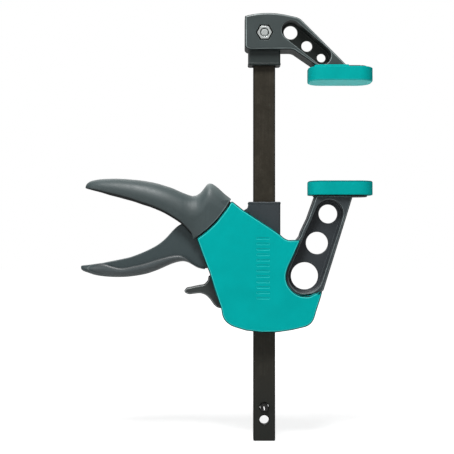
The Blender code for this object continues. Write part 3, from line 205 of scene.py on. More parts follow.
class Board:
    """The node tree of one material or world."""

    def __init__(self, owner: Union[bpy.types.Material, bpy.types.World]) -> None:
        """Empty the owner's tree.

        Args:
            owner: the material or world that the board belongs to.
        """
        owner.use_nodes = True
        self.tree = owner.node_tree
        self.tree.nodes.clear()

    def node(self, kind: str, settings: dict, inputs: dict, output: Union[int, str] = 0) -> Value:
        """Add a node.

        Args:
            kind: the node's type.
            settings: its properties, set before its sockets.
            inputs: numbers, colours or links by socket name or index.
            output: the output that the sum goes on with.

        Returns:
            That output.
        """
        made = self.tree.nodes.new(kind)
        for name, value in settings.items():
            setattr(made, name, value)
        for name, value in inputs.items():
            if isinstance(value, Value):
                self.tree.links.new(value.socket, made.inputs[name])
            else:
                made.inputs[name].default_value = value
        return Value(self, made.outputs[output]) if made.outputs else Value(self, None)

    def other(self, value: Value, output: Union[int, str]) -> Value:
        """Another output of the node that a value comes from."""
        return Value(self, value.socket.node.outputs[output])

    def place(self) -> Value:
        """Place on the piece, in metres of the frame."""
        return self.node("ShaderNodeTexCoord", {}, {}, "Object")

    def upward(self) -> Value:
        """How far the surface looks up: 1 on a top, 0 on a wall and -1 on an underside."""
        return self.split(self.node("ShaderNodeTexCoord", {}, {}, "Normal"))[2]

    def split(self, vector: Value) -> tuple[Value, Value, Value]:
        """The three parts of a vector."""
        first = self.node("ShaderNodeSeparateXYZ", {}, {0: vector})
        return first, self.other(first, 1), self.other(first, 2)

    def stretched(self, vector: Value, scale: Sequence[float]) -> Value:
        """A vector times a scale, part by part."""
        return self.node("ShaderNodeVectorMath", {"operation": "MULTIPLY"}, {0: vector, 1: scale})

    def noise(self, vector: Value, scale: float, detail: float = 2, roughness: float = 0.5) -> Value:
        """Cloudy values about 0.5, with so many clouds to the metre and finer layers in them."""
        inputs = {"Vector": vector, "Scale": scale, "Detail": detail, "Roughness": roughness}
        return self.node("ShaderNodeTexNoise", {}, inputs)

    def spread(self, value: Value, low: float, high: float, to_low: float = 0, to_high: float = 1) -> Value:
        """The stretch from low to high drawn out to another one, and held at its ends."""
        inputs = {"Value": value, "From Min": low, "From Max": high, "To Min": to_low, "To Max": to_high}
        return self.node("ShaderNodeMapRange", {"clamp": True}, inputs)

    def fading(self, value: Value, low: float, high: float, share: float = 1) -> Value:
        """A share that holds up to low and is gone from high on."""
        return self.spread(value, low, high, share, 0)

    def mixed(self, share: Input, first: Input, second: Input) -> Value:
        """A colour between two colours, which the node takes at 6 and 7 and gives at 2."""
        return self.node("ShaderNodeMix", {"data_type": "RGBA"}, {0: share, 6: first, 7: second}, 2)

    def painted(self, colour: Value, share: Value, paint: Colour) -> Value:
        """A colour with a share of another one over it."""
        return self.mixed(share, colour, linear(paint))

    def edges(self, radius: float) -> Value:
        """1 along the edges of a piece and 0 on its faces.

        Args:
            radius: how far the edges reach, in metres.

        Returns:
            The share of edge.
        """
        soft = self.node("ShaderNodeBevel", {"samples": EDGE_SAMPLES}, {"Radius": radius})
        pair = {0: soft, 1: self.node("ShaderNodeNewGeometry", {}, {}, "Normal")}
        same = self.node("ShaderNodeVectorMath", {"operation": "DOT_PRODUCT"}, pair, "Value")
        return self.spread(1 - same, *EDGE_BEND)

    def bump(self, height: Value, depth: float, strength: float = 1) -> Value:
        """A normal that stands out by a depth in metres where the height is 1."""
        inputs = {"Height": height, "Distance": depth, "Strength": strength}
        return self.node("ShaderNodeBump", {}, inputs, "Normal")

    def output(self, shader: Value, kind: str = "ShaderNodeOutputMaterial") -> None:
        """End the board in its surface."""
        self.node(kind, {}, {"Surface": shader})


def linear(colour: Colour, lift: float = 1) -> tuple[float, float, float, float]:
    """A colour as a photograph shows it, as light.

    Args:
        colour: red, green and blue from 0 to 255.
        lift: factor on the light.

    Returns:
        The colour's light, with alpha.
    """
    parts = []
    for part in colour:
        share = part / 255
        light = share / SRGB_SLOPE
        if share > SRGB_STRAIGHT_END:
            light = ((share + SRGB_OFFSET) / (1 + SRGB_OFFSET)) ** SRGB_POWER
        parts.append(min(1, lift * light))
    return (*parts, 1)


@dataclass(frozen=True)
class Clouds:
    """Uneven patches, as wear, dust and browning lie on a surface."""

    scale: float  # patches to the metre
    detail: float = 2  # how many finer layers they have
    low: float = 0.35  # noise that counts as no patch
    high: float = 0.65  # noise that counts as a full patch
    roughness: float = 0.5

    def over(self, board: Board, least: float = 0, most: float = 1, along: Sequence[float] = ()) -> Value:
        """The patches over a whole piece.

        Args:
            board: the node tree.
            least: value beside the patches.
            most: value in their middle.
            along: scale in X, Y and Z of patches drawn out to streaks.

        Returns:
            The values.
        """
        place = board.stretched(board.place(), along) if along else board.place()
        noise = board.noise(place, self.scale, self.detail, self.roughness)
        return board.spread(noise, self.low, self.high, least, most)


# Finishes

FADED = Clouds(70, detail=4)
WORN = Clouds(900, detail=3, low=0.30, high=0.62)
TOUCHED = Clouds(260, detail=3, low=0.3, high=0.7)
# Breaks in the painted edge lines
BAND_BREAKS = Clouds(120)
BROWNED = Clouds(160, detail=5, low=0.42, high=0.62, roughness=0.6)
RELIEF_STRENGTH = 0.5
LOOKING_UP = (0.15, 0.60)  # how far up a face looks where the painted shade on tops begins to show and where it is full
LOOKING_DOWN = (-0.60, -0.15)  # the same where the painted light on undersides is full and where it ends


@dataclass(frozen=True)
class Finish(ABC):
    """What all finishes share: a colour with faint clouds, worn edges and an uneven gloss."""

    name: str
    colour: Colour
    slot: Slot
    roughness: float = 0.5
    metallic: float = 0  # 1 for bare metal
    gleam: float = 0.5  # how strongly it mirrors, 0.5 for plain plastic
    clouds: float = 0.04  # how far its light varies, as a share
    edge_colour: Colour = (255, 255, 255)
    edge_share: float = 0
    edge_least: float = 0.35  # share of that where the wear is weakest
    edge_radius: float = 0.0006
    gloss_spread: float = 0.05  # how far the roughness varies to either side

    def tint(self, board: Board) -> Value:
        """The colour with its clouds and its worn edges.

        Args:
            board: the node tree.

        Returns:
            The colour.
        """
        dark, pale = linear(self.colour, 1 - self.clouds), linear(self.colour, 1 + self.clouds)
        colour = board.mixed(FADED.over(board), dark, pale)
        if not self.edge_share:
            return colour
        worn = board.edges(self.edge_radius) * WORN.over(board, self.edge_least) * self.edge_share
        return board.painted(colour, worn, self.edge_colour)

    def gloss(self, board: Board) -> Value:
        """The roughness with its unevenness."""
        return TOUCHED.over(board, self.roughness - self.gloss_spread, self.roughness + self.gloss_spread)

    @abstractmethod
    def relief(self, board: Board) -> Value:
        """The fine unevenness of the surface."""

    def material(self) -> bpy.types.Material:
        """The finish as a material, made once.

        Returns:
            The material.
        """
        found = bpy.data.materials.get(self.name)
        if found:
            return found
        made = bpy.data.materials.new(self.name)
        board = Board(made)
        board.output(board.node("ShaderNodeBsdfPrincipled", {}, {
            "Metallic": self.metallic,
            "Specular IOR Level": self.gleam,
            "Base Color": self.tint(board),
            "Roughness": self.gloss(board),
            "Normal": self.relief(board),
        }))
        made.diffuse_color = linear(self.colour)
        return made


@dataclass(frozen=True)
class Band:
    """A painted line along all edges of a moulding, where a round edge passes between two depths: a dark one
    is painted shade, a pale one a painted highlight.
    """

    colour: Colour
    start: float  # depth from the bar's middle where it begins
    end: float
    share: float = 1.0
    least: float = 0.5  # share of that where it is weakest
    soft: float = 0.00003  # width of its own edges

    def shown(self, board: Board, depth: Value) -> Value:
        """How strongly it shows at a depth, stronger here and weaker there.

        Args:
            board: the node tree.
            depth: depth from the bar's middle.

        Returns:
            The share.
        """
        inside = board.spread(depth, self.start - self.soft, self.start)
        inside = inside * board.fading(depth, self.end, self.end + self.soft)
        return inside * BAND_BREAKS.over(board, self.least) * self.share


@dataclass(frozen=True)
class MouldedPlastic(Finish):
    """Plastic from an eroded mould: a fine leathery grain, with painted shade where a recess lies deep."""

    grain: float = 2600  # grains to the metre
    grain_depth: float = 0.00004
    grain_share: float = 0.7  # its part in the relief, the rest being faint waves
    wave: float = 6  # how many grains make a wave
    recess_shade_colour: Colour = (0, 0, 0)  # painted shade colour of what lies deep in a recess
    deep_from: float = 0  # depth from the bar's middle where it is fully that colour
    deep_to: float = 0  # depth where it is the face's colour again
    deep_right_of: float = -1.0  # where in X the painted recess shade and the painted edge lines begin
    deep_soft: float = 0.002  # width over which they do
    bands: tuple[Band, ...] = ()  # painted shade lines and painted highlight lines along its edges
    top_shade_colour: Colour = (30, 35, 37)  # painted shade colour of what looks up
    top_shade_share: float = 0  # how strongly that shows; at 0 the upper and lower sides are plain
    under_light_colour: Colour = (112, 118, 120)  # painted light colour of what looks down
    under_light_share: float = 0

    def tint(self, board: Board) -> Value:
        """The colour with painted shade on what looks up and painted light on what looks down, painted shade
        in the recesses and painted lines along the edges.

        Args:
            board: the node tree.

        Returns:
            The colour.
        """
        colour = super().tint(board)
        # painted shade on what looks up and painted light on what looks down
        if self.top_shade_share:
            upward = board.upward()
            top_shade = board.spread(upward, *LOOKING_UP, 0, self.top_shade_share)
            colour = board.painted(colour, top_shade, self.top_shade_colour)
            under_light = board.fading(upward, *LOOKING_DOWN, self.under_light_share)
            colour = board.painted(colour, under_light, self.under_light_colour)
        across, depth, _ = board.split(board.place())
        reach = board.spread(across, self.deep_right_of, self.deep_right_of + self.deep_soft)
        # painted shade, full deep in a recess and fading towards the faces
        if self.deep_to:
            deep = board.fading(abs(depth), self.deep_from, self.deep_to)
            colour = board.painted(colour, deep * reach, self.recess_shade_colour)
        # painted shade lines and painted highlights along the edges
        for band in self.bands:
            colour = board.painted(colour, band.shown(board, abs(depth)) * reach, band.colour)
        return colour

    def relief(self, board: Board) -> Value:
        """The mould's grain over faint waves.

        Args:
            board: the node tree.

        Returns:
            The surface's normal.
        """
        grain = board.noise(board.place(), self.grain) * self.grain_share
        waves = board.noise(board.place(), self.grain / self.wave) * (1 - self.grain_share)
        return board.bump(grain + waves, self.grain_depth, RELIEF_STRENGTH)


@dataclass(frozen=True)
class SeamedPlastic(MouldedPlastic):
    """The body's plastic, with painted highlight and painted shade on the grip, and a line of painted shade
    in the seam between grip and covers.
    """

    seam_centre: Point = riding(PARTING_CENTRE)  # middle of the seam's arc, in X and Z of the frame
    seam_radius: float = PARTING_RADIUS - SEAM / 2
    seam_half: float = 0.0006  # half the dark line's width
    seam_core: float = 0.7  # share of the line that is fully dark
    seam_shade_colour: Colour = (8, 9, 9)
    lip_highlight_colour: Colour = (120, 132, 132)  # painted highlight colour of the lips beside the line
    lip_highlight_share: float = 0.6
    lip_from: float = 0.0001  # distance from the line at which a lip is full
    lip_reach: Point = (0.0004, 0.0006)  # distances from the line over which it fades
    grip_soft: float = 0.0004  # width over which the grip's own colours fade into the seam
    top_highlight_colour: Colour = (132, 142, 141)  # painted highlight colour of the grip's upper side
    hump_highlight_share: float = 0.40  # how strongly that shows on the hump by the covers
    hump_highlight_turn: Point = (0.35, 0.75)  # how far up the hump's painted highlight looks where it begins and where it is full
    back_highlight_share: float = 0.12  # how strongly it shows along the grip's back
    back_highlight_turn: Point = (0.60, 0.85)  # how far up that looks where it begins and where it is full
    hump_from: float = -0.0940  # where in X the hump begins
    hump_soft: float = 0.008  # width over which it does
    underside_shade_colour: Colour = (20, 23, 24)  # painted shade colour of the grip's lower side
    flank_shade_share: float = 0.30  # how strongly that shows on its flank
    flank_turn: Point = (-0.10, 0.50)  # how far up the flank looks where the painted shade is full and where it ends
    under_turn: Point = (-0.42, -0.26)  # the same of the underside, which is wholly in painted shade

    def with_painted_light(self, board: Board, colour: Value, grip: Value, across: Value) -> Value:
        """The colour with a painted highlight where the grip looks up and painted shade where it looks down.

        Args:
            board: the node tree.
            colour: the colour so far.
            grip: 1 on the grip and 0 beside it.
            across: X of the place.

        Returns:
            The colour with that painted light.
        """
        upward = board.upward()
        hump = board.spread(across, self.hump_from, self.hump_from + self.hump_soft)
        # painted highlight on what looks up, on the hump and along the back
        painted_highlight = board.spread(upward, *self.hump_highlight_turn, 0, self.hump_highlight_share) * hump
        painted_highlight = painted_highlight + board.spread(upward, *self.back_highlight_turn, 0, self.back_highlight_share)
        colour = board.painted(colour, painted_highlight * grip, self.top_highlight_colour)
        # painted shade on the flank and the underside
        flank_shade = board.fading(upward, *self.flank_turn, self.flank_shade_share) * (1 - hump)
        colour = board.painted(colour, flank_shade * grip, self.underside_shade_colour)
        return board.painted(colour, board.fading(upward, *self.under_turn) * grip, self.underside_shade_colour)

    def tint(self, board: Board) -> Value:
        """The colour with painted light on the grip, the seam's line of painted shade and the painted
        highlights on the lips beside it.

        Args:
            board: the node tree.

        Returns:
            The colour.
        """
        x, _, z = board.split(board.place())
        across, up = x - self.seam_centre[0], z - self.seam_centre[1]
        out = (across * across + up * up).root()
        away = abs(out - self.seam_radius)
        grip = board.fading(out, self.seam_radius - self.grip_soft, self.seam_radius)
        # painted highlights on the rounded lips beside the seam
        lip = board.spread(away, self.seam_half, self.seam_half + self.lip_from)
        near, far = self.lip_reach
        lip = lip * board.fading(away, self.seam_half + near, self.seam_half + far, self.lip_highlight_share)
        colour = self.with_painted_light(board, super().tint(board), grip, x)
        colour = board.painted(colour, lip, self.lip_highlight_colour)
        # painted shade in the seam's gap
        seam_shade = board.fading(away, self.seam_half * self.seam_core, self.seam_half)
        return board.painted(colour, seam_shade, self.seam_shade_colour)


@dataclass(frozen=True)
class PadWithPaintedLight(MouldedPlastic):
    """The pads' soft plastic, with painted light on the clamping faces and painted lines along their rims."""

    # Height, painted light colour and rim line colour of each clamping face; the fixed face's rim line is a
    # painted highlight, the sliding face's painted shade
    faces: tuple[tuple[float, Colour, Colour], ...] = (
        (FIXED_FACE, (132, 246, 244), (60, 205, 202)),
        (BODY_FACE, (62, 206, 202), (0, 84, 86)),
    )
    rim_reach: Point = (0.0006, 0.0009)  # distances from a face over which its painted rim line fades
    face_light_reach: Point = (0.00005, 0.0001)  # the same of its painted light

    def tint(self, board: Board) -> Value:
        """The colour, with painted light on the clamping faces and painted lines along their rims.

        Args:
            board: the node tree.

        Returns:
            The colour.
        """
        height = board.split(board.place())[2]
        colour = super().tint(board)
        for face, face_light_colour, rim_line_colour in self.faces:
            away = abs(height - face)
            colour = board.painted(colour, board.fading(away, *self.rim_reach), rim_line_colour)
            colour = board.painted(colour, board.fading(away, *self.face_light_reach), face_light_colour)
        return colour


@dataclass(frozen=True)
class DrawnSteel(Finish):
    """Steel with marks along one direction, from drawing and from the body that slides on it."""

    along: Place = (1500, 1500, 30)  # scale of the marks in X, Y and Z
    mark_colour: Colour = (90, 84, 74)
    mark_share: float = 0.3
    mark_depth: float = 0.00002
    mark_part: float = 0.6  # their part in the relief, the rest being fine pits
    pits: float = 2400  # pits to the metre

    def marks(self, board: Board, detail: float) -> Value:
        """Streaks along the metal, from 0 to 1."""
        return Clouds(1, detail, low=0.38, high=0.66, roughness=0.6).over(board, along=self.along)

    def tint(self, board: Board) -> Value:
        """The colour with streaks and blotches of the browning."""
        share = self.marks(board, detail=3) * BROWNED.over(board) * self.mark_share
        return board.painted(super().tint(board), share, self.mark_colour)

    def relief(self, board: Board) -> Value:
        """The streaks as shallow grooves over a fine pitting.

        Args:
            board: the node tree.

        Returns:
            The surface's normal.
        """
        pitting = board.noise(board.place(), self.pits, detail=3) * (1 - self.mark_part)
        streaks = self.marks(board, detail=2) * self.mark_part
        return board.bump(streaks + pitting, self.mark_depth, RELIEF_STRENGTH)


@dataclass(frozen=True)
class BrownedBar(DrawnSteel):
    """The bar's browned steel, with painted shade along its rounded borders, towards its lower end and in
    rings round its holes.
    """

    # half the width that is free of painted border shade
    plain_half: float = 0.0060
    border_half: float = 0.0067  # half the width at which the painted border shade is full
    border_shade_colour: Colour = (14, 13, 11)
    end_shade_colour: Colour = (43, 44, 41)  # painted shade colour towards the bar's lower end
    end_reach: Point = (-0.21, -0.15)  # heights over which that fades
    # Height and radius of the painted shade rings round its holes
    rings: tuple[Point, ...] = ((-0.2152, 0.0036), (-0.2069, 0.0034))
    ring_soft: float = 0.0003

    def tint(self, board: Board) -> Value:
        """The colour with painted shade along its borders, towards its end and in rings round the holes.

        Args:
            board: the node tree.

        Returns:
            The colour.
        """
        across, _, height = board.split(board.place())
        away = abs(across - BAR_AXIS)
        # painted shade towards the lower end
        colour = board.painted(super().tint(board), board.fading(height, *self.end_reach), self.end_shade_colour)
        # painted shade along the borders and round the holes
        dark = board.spread(away, self.plain_half, self.border_half)
        # painted shade in rings round the holes
        for middle, radius in self.rings:
            up = height - middle
            distance = (away * away + up * up).root()
            dark = dark + board.fading(distance, radius - self.ring_soft, radius)
        return board.painted(colour, dark.clamped(), self.border_shade_colour)


# The jaw: painted shade deep in the recesses and round the collar, a dark band of painted shade and a pale
# band of painted highlight along its edges.
JAW_NYLON = MouldedPlastic(
    "grey_nylon_of_the_jaw", (65, 73, 73), Slot.GREY_NYLON, roughness=0.34, gleam=0.30,
    recess_shade_colour=(36, 41, 39), deep_from=0.0038, deep_to=0.0084,
    bands=(Band((18, 21, 21), 0.0072, 0.00855), Band((160, 172, 172), 0.0086, 0.00886, share=0.8)),
)
# The body: right of the grip, painted shade deep in the recesses that fades out slowly over the arm's faces,
# and a dark band of painted shade and a pale band of painted highlight along the arm's edges.
BODY_NYLON = SeamedPlastic(
    "grey_nylon_of_the_body", (66, 77, 78), Slot.GREY_NYLON, roughness=0.46, gleam=0.38,
    recess_shade_colour=(53, 58, 62), deep_from=0.0040, deep_to=0.0320, deep_right_of=-0.0640,
    bands=(Band((18, 20, 22), 0.0077, 0.00905), Band((140, 152, 152), 0.0091, 0.00936, share=0.7)),
)
# The trigger: painted shade on what looks up and on the web beside the flange, painted light on what looks
# down, and a band of painted highlight along the web's edges.
TRIGGER_NYLON = MouldedPlastic(
    "grey_nylon_of_the_trigger", (70, 78, 80), Slot.GREY_NYLON, roughness=0.40, gleam=0.46,
    recess_shade_colour=(58, 70, 72), deep_from=0.0072, deep_to=0.0080, top_shade_share=0.55, under_light_share=0.25,
    bands=(Band((135, 143, 143), 0.0064, 0.0068, share=0.4),),
)
# The release lever: a dark band of painted shade and a pale band of painted highlight along its edges.
LEVER_NYLON = MouldedPlastic(
    "grey_nylon_of_the_release", (56, 60, 59), Slot.GREY_NYLON, roughness=0.32, gleam=0.36,
    bands=(Band((16, 18, 18), 0.0039, 0.0048), Band((150, 156, 155), 0.00484, 0.00493)),
)
# The covers: a dark band of painted shade and a pale band of painted highlight along their rims.
SHELL = MouldedPlastic(
    "teal_plastic_of_the_covers", (0, 168, 166), Slot.TEAL_SHELL, roughness=0.42, gleam=0.05,
    bands=(Band((0, 28, 30), 0.0122, 0.01332), Band((90, 222, 216), 0.01340, 0.01346, share=0.8)),
)
# The pads: painted light on their clamping faces and painted lines along their rims.
PAD_RUBBER = PadWithPaintedLight(
    "teal_rubber_of_the_pads", (0, 163, 160), Slot.TEAL_PAD, roughness=0.58, gleam=0.05,
)
BAR_STEEL = BrownedBar(
    "browned_bar_steel", (52, 48, 40), Slot.BAR_STEEL, roughness=0.40, metallic=0.20, gleam=0.25, clouds=0.10,
)
PIN_STEEL = DrawnSteel(
    "black_pin_steel", (46, 45, 45), Slot.PIN_STEEL, roughness=0.38, metallic=0.5, clouds=0.10,
    edge_colour=(120, 118, 114), edge_share=0.4, edge_radius=0.0002, along=(900, 40, 900),
    mark_colour=(84, 80, 76),
)
ZINC = DrawnSteel(
    "zinc_steel_plated", (205, 210, 208), Slot.ZINC_STEEL, roughness=0.30, metallic=0.45, clouds=0.05,
    edge_colour=(240, 242, 245), edge_share=0.4, edge_radius=0.0002, along=(1200, 90, 1200),
    mark_colour=(150, 152, 152), mark_depth=0.00001,
)
WIRE = DrawnSteel(
    "spring_wire", (150, 150, 153), Slot.SPRING_STEEL, roughness=0.32, metallic=0.9, clouds=0.06,
    along=(400, 400, 1500), mark_colour=(110, 108, 106), mark_depth=0.00001,
)

# Outlines


def quarter(steps: int) -> list[float]:
    """Angles of a quarter turn, both ends included."""
    return [math.radians(90) * step / steps for step in range(steps + 1)]


def arc(centre: Point, radius: float, start_deg: float, end_deg: float, steps: int) -> list[Point]:
    """Points along a circle, both ends included."""
    angles = [math.radians(start_deg + (end_deg - start_deg) * step / steps) for step in range(steps + 1)]
    return [(centre[0] + radius * math.cos(angle), centre[1] + radius * math.sin(angle)) for angle in angles]


def smoothed(rows: Rows, parts: int) -> list[tuple[float, ...]]:
    """Rows with further rows between them, on one smooth curve through all.

    Args:
        rows: rows of numbers of equal count.
        parts: stretches to be made of each one between two rows.

    Returns:
        The longer list of rows.
    """
    finer = []
    last = len(rows) - 1
    for index in range(last):
        before, here = rows[max(index - 1, 0)], rows[index]
        after, beyond = rows[index + 1], rows[min(index + 2, last)]
        for part in range(parts):
            t = part / parts
            finer.append(tuple(
                (2 * b + (c - a) * t + (2 * a - 5 * b + 4 * c - d) * t ** 2
                 + (3 * b - a - 3 * c + d) * t ** 3) / 2
                for a, b, c, d in zip(before, here, after, beyond)
            ))
    finer.append(tuple(rows[-1]))
    return finer


@dataclass(frozen=True)
class Outline:
    """A closed outline in two directions, counter-clockwise."""

    points: tuple[Point, ...]  # its corners in metres

    @classmethod
    def drawn(cls, rows: Rows, origin: Point = (0, 0), corner: float = 0, curve: bool = True) -> "Outline":
        """Draw an outline from measured rows.

        Args:
            rows: its corners in millimetres.
            origin: where they are counted from, in metres.
            corner: radius of its corners in metres.
            curve: whether its slight bends are drawn as curves.

        Returns:
            The outline.
        """
        outline = cls(tuple((origin[0] + x * MM, origin[1] + z * MM) for x, z in rows)).wound()
        if corner:
            outline = outline.rounded(corner)
        return outline.curved() if curve else outline

    @classmethod
    def circle(cls, centre: Point, radius: float, steps: int = 48) -> "Outline":
        """A round outline."""
        return cls(tuple(arc(centre, radius, 0, 360, steps)[:-1]))

    @classmethod
    def hexagon(cls, centre: Point, across_flats: float) -> "Outline":
        """A six-sided outline with flats above and below."""
        return cls.circle(centre, across_flats / math.sqrt(3), steps=6)

    @classmethod
    def rectangle(cls, low: Point, high: Point, corner: float = 0, steps: int = 8) -> "Outline":
        """A rectangle between two corners, with round corners.

        Args:
            low: its lower left corner.
            high: its upper right corner.
            corner: radius of its corners.
            steps: steps of each round.

        Returns:
            The outline.
        """
        if not corner:
            return cls((low, (high[0], low[1]), high, (low[0], high[1])))
        points: list[Point] = []
        centres = ((high[0] - corner, high[1] - corner), (low[0] + corner, high[1] - corner),
                   (low[0] + corner, low[1] + corner), (high[0] - corner, low[1] + corner))
        for turn, centre in enumerate(centres):
            points += arc(centre, corner, 90 * turn, 90 * turn + 90, steps)
        return cls(tuple(points))

    @classmethod
    def centred(cls, centre: Point, half: Point, corner: float = 0, steps: int = 8) -> "Outline":
        """A rectangle about its centre, with half its width and height, and with round corners."""
        low, high = (centre[0] - half[0], centre[1] - half[1]), (centre[0] + half[0], centre[1] + half[1])
        return cls.rectangle(low, high, corner, steps)

    @classmethod
    def link(cls, first: Point, first_radius: float, second: Point, second_radius: float,
             steps: int = 32) -> "Outline":
        """Two circles and the straight tangents that join them.

        Args:
            first: middle of the first circle.
            first_radius: its radius.
            second: middle of the second circle.
            second_radius: its radius.
            steps: steps of each arc.

        Returns:
            The outline.
        """
        along = Vector(second) - Vector(first)
        heading = math.degrees(math.atan2(along.y, along.x))
        lean = math.degrees(math.acos((first_radius - second_radius) / along.length))
        points = arc(first, first_radius, heading + lean, heading + 360 - lean, steps)
        points += arc(second, second_radius, heading - lean, heading + lean, steps)
        return cls(tuple(points)).wound()

    def sides(self) -> list[tuple[Vector, Vector, Vector]]:
        """Each corner with the one before it and the one after it."""
        corners = [Vector(point) for point in self.points]
        return list(zip(corners[-1:] + corners[:-1], corners, corners[1:] + corners[:1]))

    def wound(self) -> "Outline":
        """The outline, counter-clockwise."""
        area = sum(before.cross(here) for before, here, _ in self.sides())
        return self if area > 0 else Outline(self.points[::-1])

    def inset(self, distance: float) -> "Outline":
        """The outline drawn in by a distance, each corner along its own mitre; below zero it grows.

        Args:
            distance: how far.

        Returns:
            The outline.
        """
        drawn = []
        for before, here, after in self.sides():
            arriving, leaving = (here - before).normalized(), (after - here).normalized()
            first, second = Vector((-arriving.y, arriving.x)), Vector((-leaving.y, leaving.x))
            drawn.append(tuple(here + (first + second) / (1 + first.dot(second)) * distance))
        return Outline(tuple(drawn))

    def rounded(self, radius: float) -> "Outline":
        """The outline with its corners rounded, where their sides are long enough for the radius.

        Args:
            radius: radius of the corners.

        Returns:
            The outline.
        """
        points: list[Point] = []
        for before, here, after in self.sides():
            arriving, leaving = (here - before).normalized(), (after - here).normalized()
            turn = math.atan2(arriving.cross(leaving), arriving.dot(leaving))
            reach = radius * abs(math.tan(turn / 2))
            short = min((here - before).length, (after - here).length) * CORNER_SHARE
            if not SLIGHT_BEND < abs(turn) < TIGHT_CORNER or reach > short:
                points.append(tuple(here))
                continue
            start = here - arriving * reach
            centre = start + Vector((-arriving.y, arriving.x)) * math.copysign(radius, turn)
            spoke = start - centre
            steps = max(2, round(abs(turn) / CORNER_STEP))
            for step in range(steps + 1):
                angle = turn * step / steps
                points.append((centre.x + spoke.x * math.cos(angle) - spoke.y * math.sin(angle),
                               centre.y + spoke.x * math.sin(angle) + spoke.y * math.cos(angle)))
        return Outline(tuple(points))

    def headings(self) -> list[tuple[Vector, Vector]]:
        """The direction in which a curve reaches each corner and leaves it.

        Returns:
            Both directions at each corner.
        """
        found = []
        for before, here, after in self.sides():
            arriving, leaving = here - before, after - here
            if arriving.angle(leaving) > SLIGHT_BEND:
                found.append((arriving.normalized(), leaving.normalized()))
                continue
            if max(arriving.length, leaving.length) > LONG_SIDE:
                middle = max(arriving, leaving, key=lambda side: side.length)
            else:
                middle = arriving.normalized() * leaving.length + leaving.normalized() * arriving.length
            found.append((middle.normalized(), middle.normalized()))
        return found

    def curved(self) -> "Outline":
        """The outline with its short sides drawn as curves where it bends slightly.

        Returns:
            The outline.
        """
        headings = self.headings()
        points: list[Point] = []
        for index, (_, here, after) in enumerate(self.sides()):
            points.append(tuple(here))
            length = (after - here).length
            if not FINE_SIDE < length < LONG_SIDE:
                continue
            out, into = headings[index][1] * length, headings[(index + 1) % len(headings)][0] * length
            parts = min(CURVE_PARTS, math.ceil(length / FINE_SIDE))
            for part in range(1, parts):
                t = part / parts
                spot = (here * (2 * t ** 3 - 3 * t ** 2 + 1) + out * (t ** 3 - 2 * t ** 2 + t)
                        + after * (3 * t ** 2 - 2 * t ** 3) + into * (t ** 3 - t ** 2))
                points.append(tuple(spot))
        return Outline(tuple(points))


def carried(rows: Rows) -> Outline:
    """A plain outline on the body that slides, from corner to corner of its rows."""
    return Outline.drawn(rows, BODY_ORIGIN, curve=False)


def quarter_round(corner: Point, reach: Point, steps: int) -> list[Point]:
    """Points that round a corner off, from beside it in the second direction to beside it in the first."""
    return [(corner[0] + reach[0] * (1 - math.cos(turn)), corner[1] + reach[1] * (1 - math.sin(turn)))
            for turn in quarter(steps)]


# Levels of a slab: how deep, and how far its outline is drawn in there


def rounded(low: float, high: float, low_edge: float, high_edge: float, steps: int = 4) -> list[Level]:
    """Levels of a slab between two depths whose edges are quarter rounds.

    Args:
        low: the lower depth.
        high: the higher depth.
        low_edge: radius at the lower one, or 0 for a plain edge.
        high_edge: radius at the higher one.
        steps: steps of each round.

    Returns:
        The levels.
    """
    levels = quarter_round((low, 0.0), (low_edge, low_edge), steps) if low_edge else [(low, 0.0)]
    return levels + quarter_round((high, 0.0), (-high_edge, high_edge), steps)[::-1]


def alike(half: float, edge: float, steps: int = 4) -> list[Level]:
    """Levels of a slab that is the same in front and behind."""
    return rounded(-half, half, edge, edge, steps)


def through(low: float, high: float, lip: float, steps: int = 3) -> list[Level]:
    """Levels of a tool that bores a hole from one face to another and rounds its mouths."""
    levels = [(low - OVERRUN, -lip)] + quarter_round((low, 0.0), (lip, -lip), steps)
    return levels + quarter_round((high, 0.0), (-lip, -lip), steps)[::-1] + [(high + OVERRUN, -lip)]


def pocket(face: float, floor: float, lip: float, fillet: float, draft: float = 0,
           steps: int = 3) -> list[Level]:
    """Levels of a tool that sinks a pocket with a round mouth and a fillet along its floor.

    Args:
        face: depth of the face that it is sunk into.
        floor: depth of its floor.
        lip: radius of its mouth.
        fillet: radius along its floor.
        draft: how far its walls lean in.
        steps: steps of each round.

    Returns:
        The levels.
    """
    way = math.copysign(1, floor - face)
    levels = [(face - way * OVERRUN, -lip)] + quarter_round((face, 0.0), (way * lip, -lip), steps)
    foot = quarter_round((draft, floor), (fillet, -way * fillet), steps)
    return levels + [(depth, drawn) for drawn, depth in foot]


# Solids


def placed(name: str, data: bpy.types.ID) -> bpy.types.Object:
    """A new object in the scene.

    Args:
        name: what it is called.
        data: its mesh, camera or light.

    Returns:
        The object.
    """
    made = bpy.data.objects.new(name, data)
    bpy.context.scene.collection.objects.link(made)
    return made


def moulded(name: str, shape: bmesh.types.BMesh) -> bpy.types.Object:
    """A new object in the scene from a form, which is used up.

    Args:
        name: what it is called.
        shape: the form.

    Returns:
        The object.
    """
    mesh = bpy.data.meshes.new(name)
    shape.to_mesh(mesh)
    shape.free()
    return placed(name, mesh)


class Work(Enum):
    """What a tool does to a solid."""

    CUT = "DIFFERENCE"
    JOIN = "UNION"
    KEEP = "INTERSECT"


